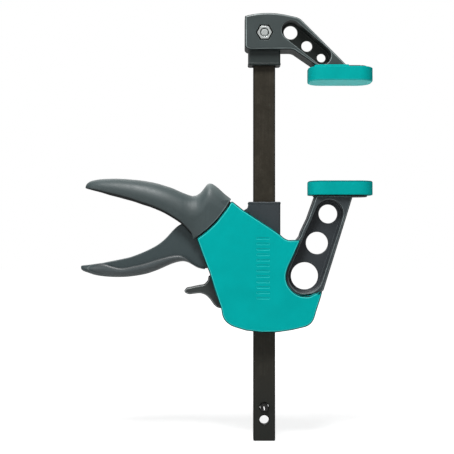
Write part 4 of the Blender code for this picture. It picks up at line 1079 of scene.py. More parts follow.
class Solid:
    """A closed form on the bench, before it becomes a piece of the clamp."""

    def __init__(self, name: str, rings: Sequence[Sequence[Place]]) -> None:
        """Close a form through rings of equal count.

        Args:
            name: what it is called.
            rings: its cross sections in the frame's metres, both ends included.
        """
        shape = bmesh.new()
        loops = [[shape.verts.new(point) for point in ring] for ring in rings]
        for low, high in zip(loops, loops[1:]):
            for index in range(len(low)):
                following = (index + 1) % len(low)
                shape.faces.new((low[index], low[following], high[following], high[index]))
        shape.faces.new(loops[0])
        shape.faces.new(loops[-1])
        bmesh.ops.recalc_face_normals(shape, faces=shape.faces)
        self.item = moulded(name, shape)

    @classmethod
    def slab(cls, name: str, outline: Outline, levels: Sequence[Level]) -> "Solid":
        """A form with an outline in X and Z and levels along Y."""
        return cls(name, [[(x, y, z) for x, z in outline.inset(drawn).points] for y, drawn in levels])

    @classmethod
    def plate(cls, name: str, outline: Outline, levels: Sequence[Level]) -> "Solid":
        """A form with an outline in X and Y and levels along Z."""
        return cls(name, [[(x, y, z) for x, y in outline.inset(drawn).points] for z, drawn in levels])

    @classmethod
    def rod(cls, name: str, centre: Point, radius: float, low: float, high: float,
            steps: int = BORE_SIDES) -> "Solid":
        """A round rod along Y between two depths."""
        return cls.slab(name, Outline.circle(centre, radius, steps), [(low, 0), (high, 0)])

    @classmethod
    def hole(cls, centre: Point, radius: float, half: float, lip: float, steps: int = 48) -> "Solid":
        """The tool for a hole with round mouths through a slab of half a depth."""
        return cls.slab("hole", Outline.circle(centre, radius, steps), through(-half, half, lip))

    @classmethod
    def block(cls, name: str, low: Sequence[float], high: Sequence[float]) -> "Solid":
        """A plain box, for tools."""
        outline = Outline.rectangle((low[0], low[1]), (high[0], high[1]))
        return cls.plate(name, outline, [(low[2], 0), (high[2], 0)])

    def work(self, kind: Work, tools: Sequence["Solid"]) -> "Solid":
        """Work tools into the solid; they are used up.

        Args:
            kind: what they do.
            tools: the tools.

        Returns:
            The solid itself.
        """
        for tool in tools:
            modifier = self.item.modifiers.new(tool.item.name, "BOOLEAN")
            modifier.operation = kind.value
            modifier.solver = "MANIFOLD"
            modifier.object = tool.item
        graph = bpy.context.evaluated_depsgraph_get()
        worked = bpy.data.meshes.new_from_object(self.item.evaluated_get(graph))
        spent = self.item.data
        self.item.modifiers.clear()
        self.item.data = worked
        bpy.data.meshes.remove(spent)
        for tool in tools:
            mesh = tool.item.data
            bpy.data.objects.remove(tool.item, do_unlink=True)
            bpy.data.meshes.remove(mesh)
        return self

    def cut(self, *tools: "Solid") -> "Solid":
        """Cut tools out of the solid."""
        return self.work(Work.CUT, tools)

    def join(self, *tools: "Solid") -> "Solid":
        """Fuse tools to the solid."""
        return self.work(Work.JOIN, tools)

    def keep(self, tool: "Solid") -> "Solid":
        """Keep what the solid shares with a tool."""
        return self.work(Work.KEEP, (tool,))

    def piece(self, name: str, finish: Finish, body: Body, *replaced: str) -> bpy.types.Object:
        """Make the solid a piece of the clamp.

        Args:
            name: the piece's name.
            finish: what it is made of.
            body: what it rides on.
            replaced: the frame's nodes that it stands for.

        Returns:
            The piece.
        """
        shape = bmesh.new()
        shape.from_mesh(self.item.data)
        bmesh.ops.remove_doubles(shape, verts=shape.verts, dist=WELD)
        bmesh.ops.dissolve_degenerate(shape, edges=shape.edges, dist=WELD)
        shape.to_mesh(self.item.data)
        shape.free()
        return dressed(self.item, name, finish, body, replaced)


def dressed(made: bpy.types.Object, name: str, finish: Finish, body: Body,
            replaced: Sequence[str]) -> bpy.types.Object:
    """Shade an object, give it its finish and let it ride.

    Args:
        made: the object, its mesh in the frame's metres.
        name: the piece's name.
        finish: what it is made of.
        body: what it rides on.
        replaced: the frame's nodes that it stands for.

    Returns:
        The object.
    """
    mesh = made.data
    made.name = mesh.name = name
    mesh.shade_smooth()
    mesh.set_sharp_from_angle(angle=SHARP_ANGLE)
    weighted = made.modifiers.new("weighted_normals", "WEIGHTED_NORMAL")
    weighted.keep_sharp = True
    mesh.materials.clear()
    mesh.materials.append(finish.material())
    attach(made, body.value)
    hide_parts(*replaced)
    LOG.info("%s: %d faces on %s", name, len(mesh.polygons), body.value)
    return made


@dataclass(frozen=True)
class SoftenedNode:
    """A piece whose form is the frame's own, with its edges softened as tumbling leaves them."""

    node: str
    body: Body
    finish: Finish
    edge: float = 0.0002

    def build(self) -> None:
        """Weld the node's copy, round its edges and put it in the node's place."""
        shape = bmesh.new()
        shape.from_mesh(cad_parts[self.node].data)
        bmesh.ops.remove_doubles(shape, verts=shape.verts, dist=WELD)
        bmesh.ops.dissolve_limit(shape, angle_limit=FLAT_ANGLE, verts=shape.verts, edges=shape.edges)
        sharp = [edge for edge in shape.edges if edge.is_manifold and edge.calc_face_angle() > SHARP_ANGLE]
        bmesh.ops.bevel(shape, geom=sharp, offset=self.edge, segments=2, profile=0.5, affect="EDGES",
                        clamp_overlap=True)
        made = moulded(self.node, shape)
        dressed(made, f"{self.node}_shape", self.finish, self.body, (self.node,))


# Forms that both jaws share


def bar_passage(low: float, high: float, lip: float) -> Solid:
    """The tool for the hole that the bar slides through, wider by a lip at its lower mouth."""
    levels = [(low - OVERRUN, -lip), (low, -lip), (low + lip, 0), (high, 0)]
    return Solid.plate("bar_passage", Outline.centred((BAR_AXIS, 0), PASSAGE_HALF), levels)


def collar(mouth: float, root: float) -> Solid:
    """The collar round the bar, whose mouth has a narrow raised rim.

    Args:
        mouth: height of its mouth.
        root: height of its other end.

    Returns:
        The collar.
    """
    way = math.copysign(1, root - mouth)
    levels = [(mouth + way * height, drawn) for height, drawn in COLLAR_RIM] + [(root, 0.0)]
    return Solid.plate("collar", Outline.centred((BAR_AXIS, 0), COLLAR_HALF, COLLAR_CORNER, steps=5), levels)


def lighten(arm: Solid, half_depth: float, holes: Sequence[Hole], radii: Point, steps: int = 48) -> None:
    """Sink a recess into both faces of an arm and bore the web that is left between them.

    Args:
        arm: the arm.
        half_depth: half the arm's depth.
        holes: place and radius of each hole in the web, in the frame.
        radii: the recess's radius about the first and the last hole.
        steps: sides of each hole.
    """
    outline = Outline.link(holes[0][:2], radii[0], holes[-1][:2], radii[1])
    rounds = (RECESS_ROUND, RECESS_ROUND, RECESS_DRAFT)
    arm.cut(*(Solid.slab("recess", outline, pocket(side * half_depth, side * WEB_HALF, *rounds, steps=4))
              for side in (-1, 1)))
    arm.cut(*(Solid.hole((x, z), radius, WEB_HALF, WEB_LIP, steps) for x, z, radius in holes))


@dataclass(frozen=True)
class Foot:
    """The flat foot inside a soft pad, with its neck."""

    face: float  # height of the pad's face
    up: int  # 1 where the jaw is above the pad's face, -1 where it is below
    length: float = 0.0360
    width: float = 0.0200
    corner: float = 0.0072
    # Distance from the pad's face and inset, up to the neck's end inside the jaw
    levels: tuple[Level, ...] = (
        (0.0033, 0.0004), (0.0037, 0.0), (0.0077, 0.0), (0.0077, 0.0010), (0.0100, 0.0010),
    )

    def solid(self) -> Solid:
        """The foot and its neck."""
        plan = Outline.centred((0, 0), (self.length / 2, self.width / 2), self.corner)
        return Solid.plate("foot", plan, [(self.face + self.up * z, drawn) for z, drawn in self.levels])


# Pieces of the fixed side


@dataclass(frozen=True)
class Bar:
    """The flat browned bar with its three cross holes, and the stop pin near its end."""

    half_width: float = 0.0070
    half_thickness: float = 0.0025
    top: float = 0.0405  # its upper end, inside the head
    bottom: float = -0.2285
    edge: float = 0.0005  # radius of its long edges
    corner: float = 0.0008  # radius of its ends' corners
    # Height and radius of each cross hole
    holes: tuple[Point, ...] = ((-0.2152, 0.0030), (-0.2069, 0.0028), (BOLT_HEIGHT, 0.0028))

    def build(self) -> None:
        """Round the bar's edges and bore its holes."""
        low, high = fixed((-self.half_width, self.bottom)), fixed((self.half_width, self.top))
        outline = Outline.rectangle(low, high, self.corner, steps=4)
        bar = Solid.slab("bar", outline, alike(self.half_thickness, self.edge))
        bar.cut(*(Solid.hole(fixed((0, height)), radius, self.half_thickness, BORE_LIP)
                  for height, radius in self.holes))
        bar.piece("flat_bar", BAR_STEEL, Body.BAR, "bar")
        SoftenedNode("bar_stop_pin", Body.BAR, PIN_STEEL, edge=0.00012).build()


@dataclass(frozen=True)
class FixedJaw:
    """The moulded head, its collar round the bar, the cranked arm and its foot."""

    rows: Rows = (
        (-12.4, 21.8), (-12.4, 41.2), (-10.4, 41.8), (-6.7, 42.5), (-2.9, 43.0), (2.1, 43.2), (7.1, 43.0),
        (12.7, 42.2), (17.3, 41.2), (21.1, 40.2), (22.8, 39.3), (24.4, 37.8), (52.9, 9.3), (33.3, 9.3),
        (30.5, 11.3), (19.3, 19.0), (17.4, 19.8), (14.5, 20.0), (-8.3, 19.8), (-11.2, 20.6),
    )
    half_depth: float = 0.0090
    edge: float = 0.0016  # radius of its front and back edges
    holes: tuple[Hole, ...] = (  # place and radius of each lightening hole
        (0.01687, 0.03218, 0.0044), (0.02728, 0.02346, 0.0035), (0.03647, 0.01598, 0.0028),
    )
    recess_radii: Point = (0.00612, 0.00561)  # the recess's radius about the first and the last hole
    collar_bottom: float = 0.0106
    collar_root: float = 0.0260
    passage_top: float = 0.0408  # height that the bar's passage reaches
    passage_lip: float = 0.0004  # how much wider that is at its mouth
    pocket_flats: float = 0.0096  # width of the nut's pocket across its flats
    pocket_floor: float = -0.0045  # depth of its floor; the washer's pocket is as deep at the back
    pocket_fillet: float = 0.0002  # radius along both floors
    nut_lip: float = 0.0003
    washer_lip: float = 0.0004
    washer_pocket_radius: float = 0.0053
    bolt_hole_radius: float = 0.0028
    bolt_hole_half: float = 0.0060  # half the length of the tool that bores it

    def build(self) -> None:
        """Shape the head, sink its recesses and pockets, and bore its holes."""
        outline = Outline.drawn(self.rows, FIXED_ORIGIN, self.edge + OVER_EDGE)
        jaw = Solid.slab("jaw", outline, alike(self.half_depth, self.edge, steps=5))
        jaw.join(collar(self.collar_bottom, self.collar_root), Foot(FIXED_FACE, up=1).solid())
        holes = [(*fixed((x, z)), radius) for x, z, radius in self.holes]
        lighten(jaw, self.half_depth, holes, self.recess_radii)
        jaw.cut(bar_passage(self.collar_bottom, self.passage_top, self.passage_lip), *self.bolt_tools())
        jaw.piece("fixed_jaw_moulding", JAW_NYLON, Body.BAR, "fixed_jaw")

    def bolt_tools(self) -> list[Solid]:
        """Tools for the nut's and the washer's pockets and for the bolt's hole.

        Returns:
            The tools.
        """
        centre = fixed((0, BOLT_HEIGHT))
        nut = Outline.hexagon(centre, self.pocket_flats)
        washer = Outline.circle(centre, self.washer_pocket_radius)
        deep, floor, fillet = self.half_depth, self.pocket_floor, self.pocket_fillet
        half = self.bolt_hole_half
        return [
            Solid.slab("nut_pocket", nut, pocket(-deep, floor, self.nut_lip, fillet)),
            Solid.slab("washer_pocket", washer, pocket(deep, -floor, self.washer_lip, fillet)),
            Solid.rod("bolt_hole", centre, self.bolt_hole_radius, -half, half, steps=48),
        ]


@dataclass(frozen=True)
class JawBolt:
    """The bolt through head and bar, its washer, and the nut in its pocket."""

    radius: float = 0.0025  # radius of its shank
    flats: float = 0.0080  # width of nut and bolt head across their flats
    hexagon_edge: float = 0.0002  # radius of their edges
    # Distance from their open side, and how far their corners are turned off there
    turned: tuple[Level, ...] = ((0.0, 0.0005), (0.0002, 0.0002), (0.0006, 0.0))
    nut_front: float = -0.0088
    nut_height: float = 0.0040
    nut_lip: float = 0.0004
    # Depth and inset along the shank, from its end into the head
    shank_levels: tuple[Level, ...] = ((-0.0087, 0.0009), (-0.0082, 0.0003), (0.0065, 0.0003))
    washer_face: float = 0.0048  # depth of the washer's inner face
    washer_height: float = 0.0010
    washer_radius: float = 0.0050
    washer_edges: Point = (0.0001, 0.0003)  # radius of its inner and its outer edge
    head_face: float = 0.0061  # depth of the bolt head's inner face
    head_height: float = 0.0035

    def build(self) -> None:
        """Make bolt, washer and nut."""
        centre = fixed((0, BOLT_HEIGHT))
        shank = Solid.slab("shank", Outline.circle(centre, self.radius, steps=40), self.shank_levels)
        head_back = self.head_face + self.head_height
        shank.join(self.hexagon_head(centre, self.head_face, head_back, open_side=1))
        shank.piece("jaw_bolt_shape", ZINC, Body.BAR, "jaw_bolt")
        nut_back = self.nut_front + self.nut_height
        nut = self.hexagon_head(centre, self.nut_front, nut_back, open_side=-1)
        bore = Outline.circle(centre, self.radius + GAP, steps=40)
        nut.cut(Solid.slab("bore", bore, through(self.nut_front, nut_back, self.nut_lip)))
        nut.piece("jaw_nut_shape", ZINC, Body.BAR, "jaw_nut")
        washer_back = self.washer_face + self.washer_height
        washer = Solid.slab("washer", Outline.circle(centre, self.washer_radius),
                            rounded(self.washer_face, washer_back, *self.washer_edges, steps=2))
        washer.cut(Solid.slab("bore", bore, through(self.washer_face, washer_back, self.washer_edges[0])))
        washer.piece("jaw_washer_shape", ZINC, Body.BAR, "jaw_washer")

    def hexagon_head(self, centre: Point, low: float, high: float, open_side: int) -> Solid:
        """A hexagon whose corners are turned off on its open side.

        Args:
            centre: its middle.
            low: its front face.
            high: its back face.
            open_side: -1 where the turned side is in front, 1 where it is at the back.

        Returns:
            The solid.
        """
        edge = self.hexagon_edge
        plan = Outline.hexagon(centre, self.flats)
        form = Solid.slab("hexagon", plan, rounded(low, high, edge, edge, steps=2))
        face, other = (high, low) if open_side > 0 else (low, high)
        levels = [(face - open_side * distance, drawn) for distance, drawn in self.turned]
        levels.append((other - open_side * OVERRUN, 0))
        circle = Outline.circle(centre, self.flats / math.sqrt(3))
        return form.keep(Solid.slab("turned", circle, sorted(levels)))


# Soft pads


@dataclass(frozen=True)
class Pad:
    """A soft cap over a jaw's foot, with its clamping face, wall and lip."""

    node: str
    body: Body
    face: float  # height of its clamping face
    up: int
    rim_reach: tuple[float, ...] = ()  # from where to where the raised rims beside the arm run, or nothing
    length: float = 0.0410
    width: float = 0.0250
    height: float = 0.0090
    corner: float = 0.0095
    face_edge: float = 0.0010
    top_edge: float = 0.0005
    # Levels of the room for the foot and of the mouth for its neck
    rooms: tuple[tuple[Level, Level], ...] = (
        ((0.0030, 0.0022), (0.0080, 0.0022)), ((0.0060, 0.0032), (0.0110, 0.0032)),
    )
    # The rims' levels, from inside the cap up
    rim_levels: tuple[Level, ...] = ((0.0080, 0.0008), (0.0097, 0.0008), (0.0100, 0.0009), (0.0101, 0.0012))
    rim_room: float = 0.0093  # half the width that they leave for the arm

    def layer(self, levels: Sequence[Level]) -> Solid:
        """A solid with the pad's plan and levels counted from its face."""
        plan = Outline.centred((0, 0), (self.length / 2, self.width / 2), self.corner, steps=12)
        return Solid.plate("layer", plan, [(self.face + self.up * z, drawn) for z, drawn in levels])

    def build(self) -> None:
        """Mould the cap round its foot."""
        pad = self.layer(rounded(0, self.height, self.face_edge, self.top_edge))
        if self.rim_reach:
            pad.join(self.rims())
        pad.cut(*(self.layer(levels) for levels in self.rooms))
        pad.piece(f"{self.node}_cap", PAD_RUBBER, self.body, self.node)

    def rims(self) -> Solid:
        """The low raised rims in front of the arm's foot and behind it.

        Returns:
            The rims.
        """
        rim = self.layer(self.rim_levels)
        left, right = (BAR_AXIS + place for place in self.rim_reach)
        low, high = self.rim_levels[0][0] - OVERRUN, self.rim_levels[-1][0] + OVERRUN
        rim.keep(Solid.block("reach", (left, -self.width, low), (right, self.width, high)))
        return rim.cut(Solid.block("room", (left - OVERRUN, -self.rim_room, low),
                                   (right + OVERRUN, self.rim_room, high)))


# The body that slides along the bar


def around_place(place: float, side: Rows) -> list[Place]:
    """A cross section, alike in front and behind.

    Args:
        place: distance left of the bar's axis, in millimetres.
        side: its points in front, in millimetres from the sliding pad's face.

    Returns:
        Its points in the frame.
    """
    half = [(y * MM, BODY_FACE + z * MM) for y, z in side]
    x = BAR_AXIS - place * MM
    return [(x, y, z) for y, z in half] + [(x, -y, z) for y, z in reversed(half)]


@dataclass(frozen=True)
class Grip:
    """The hollow upper handle: arched above, flat at its sides and open below. Mostly in millimetres."""

    rows: Rows = (  # distance left of the bar's axis, top, bottom and half width along it
        (114.0, -3.2, -4.2, 2.2), (113.4, -1.9, -4.7, 3.9), (112.3, -0.8, -5.0, 5.1),
        (109.8, 0.4, -5.7, 6.9), (104.7, 1.3, -7.0, 8.4), (99.5, 1.6, -8.6, 9.4), (94.4, 1.7, -9.9, 10.2),
        (89.3, 1.5, -11.3, 10.8), (84.2, 1.1, -12.7, 11.4), (79.0, 0.6, -14.5, 11.9),
        (73.9, -0.2, -16.1, 12.4), (68.9, -1.2, -18.0, 12.8), (63.7, -2.7, -20.3, 13.1),
        (58.6, -4.4, -23.2, 13.2), (53.4, -6.7, -26.6, 13.2), (50.8, -7.7, -29.0, 13.1),
        (48.3, -8.7, -31.6, 12.9), (45.8, -9.4, -34.5, 12.9), (43.2, -9.0, -45.0, 12.8),
        (40.6, -7.2, -45.0, 12.7), (38.1, -4.2, -45.0, 12.7), (36.5, -2.1, -45.0, 12.5),
        (34.7, -1.3, -45.0, 12.5), (32.5, -2.0, -45.0, 12.4), (29.1, -4.5, -45.0, 12.3),
        (25.3, -8.0, -45.0, 12.1), (21.4, -11.1, -45.0, 12.0), (16.5, -15.0, -45.0, 11.9),
    )
    smooth_rows: int = 18  # how many of them lie on one smooth curve
    channel: Rows = (  # distance, roof height and half width along the hollow under it
        (102.6, -3.8, 5.1), (97.0, -2.7, 6.8), (84.2, -3.2, 8.0), (73.9, -4.6, 8.5), (63.7, -7.1, 8.5),
        (58.6, -8.8, 8.5), (53.4, -11.0, 8.5), (48.3, -13.2, 8.5), (43.2, -14.5, 8.5), (38.0, -16.0, 8.5),
        (32.9, -18.5, 8.5), (28.0, -22.0, 8.5), (24.1, -26.0, 8.5), (21.7, -29.3, 8.5),
    )
    channel_bottom: float = -48.9  # lower end of that hollow's tool
    channel_round: float = 1 / 3  # share of its half width that is round below the roof
    crown_share: float = 0.80  # share of the handle's height that is arched
    crown_most: float = 1.3  # most height of the arch, in half widths
    crown_power: float = 0.75  # how full the arch is, 1 for an ellipse
    crown_flat: float = 0.08  # share of the half width that is flat on top
    hem: float = 2.4  # radius of the lower edges
    hem_most: float = 0.5  # most that it takes of the half width
    end_levels: tuple[Level, ...] = (  # levels of the round end by the covers, in metres
        (-0.0160, 0.0030), (-0.0129, 0.0009), (-0.0126, 0.0005), (-0.0121, 0.0002), (-0.0114, 0.0),
        (0.0114, 0.0), (0.0121, 0.0002), (0.0126, 0.0005), (0.0129, 0.0009), (0.0160, 0.0030),
    )

    def solid(self) -> Solid:
        """The handle, cut round where it meets the covers.

        Returns:
            The handle.
        """
        head, tail = self.rows[:self.smooth_rows], self.rows[self.smooth_rows - 1:]
        rows = smoothed(head, parts=4)[:-1] + [tail[0], tail[1]] + smoothed(tail[1:], parts=3)[1:]
        grip = Solid("grip", [self.section(*row) for row in rows])
        end = Outline.circle(riding(PARTING_CENTRE), PARTING_RADIUS - SEAM, steps=256)
        return grip.keep(Solid.slab("grip_end", end, self.end_levels))

    def section(self, place: float, high: float, low: float, wide: float) -> list[Place]:
        """One cross section of the handle.

        Args:
            place: distance left of the bar's axis.
            high: its top.
            low: its bottom.
            wide: its half width.

        Returns:
            Its points in the frame.
        """
        arch = min((high - low) * self.crown_share, wide * self.crown_most)
        edge = min(self.hem, (high - low) * (1 - self.crown_share), wide * self.hem_most)
        side = quarter_round((wide, low), (-edge, edge), steps=5)[::-1]
        side += [(wide * math.cos(turn) ** self.crown_power, high - arch * (1 - math.sin(turn)))
                 for turn in quarter(steps=12)[1:-1]]
        side.append((wide * self.crown_flat, high))
        return around_place(place, side)

    def channel_solid(self) -> Solid:
        """The hollow under the handle.

        Returns:
            The tool that cuts it.
        """
        rings = []
        for place, roof, wide in smoothed(self.channel, parts=2):
            soft = wide * self.channel_round
            side = [(wide, self.channel_bottom)] + quarter_round((wide, roof), (-soft, -soft), steps=4)
            rings.append(around_place(place, side))
        return Solid("channel", rings)


@dataclass(frozen=True)
class SlidingBody:
    """The sliding jaw in one moulding: grip, frame under the covers, collar, arm and foot."""

    arm_rows: Rows = (
        (32.5, -9.3), (55.9, -9.3), (37.2, -69.5), (33.4, -71.4), (24.2, -72.6), (11.9, -72.6), (11.9, -44.5),
        (19.4, -38.4), (22.4, -35.1), (23.4, -32.0), (27.4, -23.6),
    )
    core_rows: Rows = (  # outline of the frame under the covers
        (-13.8, -21.1), (7.1, -34.9), (11.4, -38.5), (15.6, -39.9), (18.9, -39.8), (13.1, -52.6),
        (11.6, -56.8), (11.1, -60.5), (11.6, -64.2), (13.0, -67.6), (15.2, -70.6), (18.1, -72.9),
        (21.5, -74.5), (25.2, -75.1), (27.0, -75.1), (29.1, -74.7), (31.2, -73.6), (32.8, -73.3),
        (28.4, -86.7), (27.6, -88.0), (26.1, -89.1), (21.4, -90.5), (16.3, -91.8), (6.2, -93.1),
        (-1.4, -93.2), (-11.3, -92.0), (-17.9, -90.0), (-21.3, -88.3), (-23.5, -86.2), (-24.6, -83.4),
        (-25.2, -80.1), (-27.3, -73.9), (-32.7, -56.8), (-40.0, -37.6), (-34.7, -33.5), (-31.6, -30.7),
        (-28.7, -27.6), (-25.9, -24.4), (-23.4, -21.0), (-20.3, -16.2),
    )
    lap_rows: Rows = (  # outline of the grip's root behind the covers' edge
        (-43.2, -30.3), (-38.6, -26.6), (-34.5, -22.4), (-30.7, -17.8), (-27.4, -12.9), (-22.6, -12.3),
        (-16.3, -19.6), (-20.3, -25.5), (-24.8, -31.1), (-29.9, -36.2), (-35.4, -40.7),
    )
    chamber_rows: Rows = (  # outline of the mechanism's room
        (11.3, -41.9), (-9.5, -41.9), (-9.5, -34.0), (-14.5, -29.6), (-20.7, -22.7), (-24.6, -27.8),
        (-28.9, -32.5), (-33.6, -36.7), (-38.7, -40.6), (-46.7, -40.6), (-46.7, -82.5), (-9.9, -82.5),
        (-9.9, -89.5), (11.3, -89.5), (11.3, -76.3), (8.3, -76.3), (8.3, -68.7), (-12.0, -68.7),
        (-12.0, -65.7), (11.3, -65.7),
    )
    flare_rows: Rows = (  # outline of the collar's flare on the grip's side, where it meets the covers
        (-10.2, -15.4), (-10.5, -16.6), (-11.3, -17.6), (-12.6, -18.3), (-12.6, -20.2), (0, -20.2),
        (0, -15.4),
    )
    flare_edge: float = 0.0004
    core_half: float = 0.0107  # half the frame's depth
    arm_half: float = 0.0095
    edge: float = 0.0016  # radius of the arm's edges
    holes: tuple[Hole, ...] = (  # place and radius of the arm's holes, the last one in the ring at its end
        (0.04080, -0.02082, 0.0060), (0.03378, -0.03942, 0.0071), (0.02581, -0.06039, 0.0087),
    )
    recess_radii: Point = (0.0089, 0.0108)
    collar_reach: Point = (-0.0132, -0.0362)  # heights of the collar's mouth and of its other end
    passage_reach: Point = (-0.0955, -0.0112)  # heights of the bar passage's lower and upper end
    post_hole_radius: float = 0.0031

    def arm_outline(self) -> Outline:
        """The arm's outline, its corners just rounder than its edges."""
        return Outline.drawn(self.arm_rows, BODY_ORIGIN, self.edge + OVER_EDGE)

    def build(self) -> None:
        """Fuse grip, frame, collar, arm and foot, and work the hollows into them."""
        plain_levels = [(-self.core_half, 0), (self.core_half, 0)]
        body = Solid.slab("core", carried(self.core_rows), plain_levels)
        grip = Grip()
        body.join(
            Solid.slab("lap", carried(self.lap_rows), plain_levels),
            grip.solid(),
            collar(*(BODY_FACE + height for height in self.collar_reach)),
            Solid.slab("flare", carried(self.flare_rows), alike(COLLAR_HALF[1], self.flare_edge, steps=2)),
            Solid.slab("arm", self.arm_outline(), alike(self.arm_half, self.edge, steps=5)),
            Foot(BODY_FACE, up=-1).solid(),
        )
        holes = [(*riding((x, z)), radius) for x, z, radius in self.holes]
        lighten(body, self.arm_half, holes, self.recess_radii, steps=56)
        body.cut(
            Solid.slab("chamber", carried(self.chamber_rows), [(-COVER_HALF, 0), (COVER_HALF, 0)]),
            grip.channel_solid(),
            bar_passage(*(BODY_FACE + height for height in self.passage_reach), lip=0),
        )
        radius = self.post_hole_radius
        body.cut(*(Solid.rod("post_hole", riding(place), radius, -COVER_HALF, COVER_HALF, steps=20)
                   for place in SCREW_PLACES))
        body.piece("body_moulding", BODY_NYLON, Body.CARRIAGE, "body")


@dataclass(frozen=True)
class Cover:
    """One of the two teal covers: a face with a rounded rim, a skirt, and bosses for pins and screws."""

    side: int  # -1 for the front cover and 1 for the back one
    node: str
    rows: Rows = (
        (-14.2, -18.1), (-12.5, -19.2), (8.5, -33.1), (12.6, -36.5), (16.0, -37.6), (22.4, -37.4),
        (18.4, -46.6), (15.2, -53.4), (13.8, -57.4), (13.5, -58.9), (13.4, -60.5), (13.5, -62.1),
        (13.8, -63.6), (14.3, -65.1), (15.0, -66.5), (15.9, -67.8), (16.9, -69.0), (18.1, -70.1),
        (19.3, -71.0), (20.7, -71.7), (22.2, -72.3), (23.7, -72.6), (25.3, -72.8), (26.8, -72.8),
        (28.4, -72.5), (30.3, -71.5), (36.0, -69.8), (35.0, -73.9), (32.3, -82.2), (30.5, -87.7),
        (29.3, -89.5), (27.2, -91.2), (22.0, -92.8), (16.8, -94.0), (11.6, -94.8), (6.4, -95.4),
        (-1.6, -95.5), (-11.8, -94.3), (-18.7, -92.2), (-22.7, -90.2), (-25.4, -87.5), (-26.8, -84.1),
        (-27.4, -80.7), (-29.5, -74.6), (-34.9, -57.6), (-36.3, -54.2), (-40.3, -43.3), (-42.7, -36.7),
        (-39.4, -34.3), (-36.2, -31.8), (-33.2, -29.0), (-30.4, -26.1), (-27.7, -22.9), (-25.3, -19.7),
        (-23.0, -16.3), (-21.0, -12.7),
    )
    room_rows: Rows = (  # outline of the room inside its skirt
        (-13.6, -20.9), (7.3, -34.7), (11.6, -38.2), (15.7, -39.6), (19.3, -39.5), (13.3, -52.7),
        (11.8, -56.9), (11.4, -60.5), (11.9, -64.1), (13.3, -67.5), (15.4, -70.4), (18.3, -72.7),
        (21.6, -74.2), (25.2, -74.8), (27.0, -74.8), (29.0, -74.5), (31.1, -73.3), (33.2, -72.7),
        (28.7, -86.8), (27.8, -88.2), (26.3, -89.4), (21.5, -90.8), (16.4, -92.0), (6.3, -93.4),
        (-1.5, -93.5), (-11.4, -92.3), (-18.0, -90.3), (-21.5, -88.6), (-23.7, -86.3), (-24.9, -83.5),
        (-25.4, -80.2), (-27.6, -74.0), (-33.0, -56.9), (-40.3, -37.5), (-34.9, -33.3), (-31.8, -30.4),
        (-28.9, -27.4), (-26.2, -24.2), (-23.6, -20.8), (-20.4, -15.7),
    )
    root_rows: Rows = (  # outline of the opening for the grip's root
        (-46.7, -36.8), (-42.6, -34.2), (-38.8, -31.3), (-35.2, -28.2), (-31.9, -24.7), (-28.8, -21.0),
        (-26.0, -17.1), (-23.5, -13.0), (-21.3, -8.8), (-17.1, -10.7), (-19.5, -15.3), (-22.1, -19.7),
        (-25.1, -23.9), (-28.5, -27.8), (-32.0, -31.5), (-35.9, -34.9), (-40.0, -38.0), (-44.3, -40.8),
    )
    # Outline of the opening for the trigger and the release lever
    lever_rows: Rows = ((-44.7, -34.7), (-44.7, -82.5), (-24.9, -82.5), (-24.9, -70.8), (-36.7, -34.7))
    # Two corners and the depth of the openings for the collar, its flare and the bar
    openings: tuple[tuple[Point, Point, float], ...] = (
        ((-0.0105, -0.0362), (0.0105, -0.0112), 0.0059),
        ((-0.0129, -0.0205), (0.0, -0.0112), 0.0059),
        ((-PASSAGE_HALF[0], -0.0975), (PASSAGE_HALF[0], -0.0895), PASSAGE_HALF[1]),
    )
    parting: float = 0.00015  # depth of its inner rim
    inner: float = 0.0110  # depth of the room
    edge: float = 0.0012  # radius of its rim
    sunk: float = 0.0008  # how far posts and bosses reach into its face
    post_radius: float = 0.0028
    # Pivot, bore's radius, boss's radius and boss's end of each pivot pin
    pins: tuple[tuple[Point, float, float, float], ...] = (
        (TRIGGER_PIVOT, TRIGGER_BORE, 0.0043, 0.0073),
        (LEVER_PIVOT, LEVER_BORE, 0.0038, 0.0053),
    )
    pin_bore_end: float = 0.01255
    screw_bore: float = 0.0015  # radius of the screws' bores
    screw_bore_end: float = 0.0115  # their depth in the front cover
    seat_levels: tuple[Level, ...] = (  # their levels in the back cover, where they widen to seat the heads
        (-OVERRUN, 0), (0.0113, 0), (0.0113, -0.0012), (0.0133, -0.0012), (0.0135, -0.0014),
        (0.0155, -0.0014),
    )
    # Two corners of the uppermost of the front cover's shallow ribs
    rib: tuple[Point, Point] = ((-0.0052, -0.0371), (0.0030, -0.0359))
    rib_count: int = 12
    rib_pitch: float = 0.0034  # distance from one to the next
    rib_corner: float = 0.00054
    rib_depth: float = 0.00013  # how deep it is sunk
    rib_edge: float = 0.0001  # radius of its mouth and along its floor

    def build(self) -> None:
        """Shape the cover, open its skirt and add what holds pins and screws."""
        outline = Outline.drawn(self.rows, BODY_ORIGIN, self.edge + OVER_EDGE)
        cover = self.sided("cover", outline, rounded(self.parting, COVER_HALF, 0, self.edge, steps=5))
        cover.cut(self.gate(carried(self.room_rows), self.inner))
        cover.cut(*self.gates())
        cover.join(*self.bosses())
        cover.cut(*self.bores())
        if self.side < 0:
            cover.cut(*self.ribs())
        cover.piece(f"{self.node}_shell", SHELL, Body.CARRIAGE, self.node)

    def sided(self, name: str, outline: Outline, levels: Sequence[Level]) -> Solid:
        """A slab on the cover's side, its levels counted from the bar's middle."""
        return Solid.slab(name, outline, [(self.side * y, drawn) for y, drawn in levels])

    def gate(self, outline: Outline, depth: float) -> Solid:
        """A tool that opens the cover from its inner side to a depth."""
        return self.sided("gate", outline, [(-OVERRUN, 0), (depth, 0)])

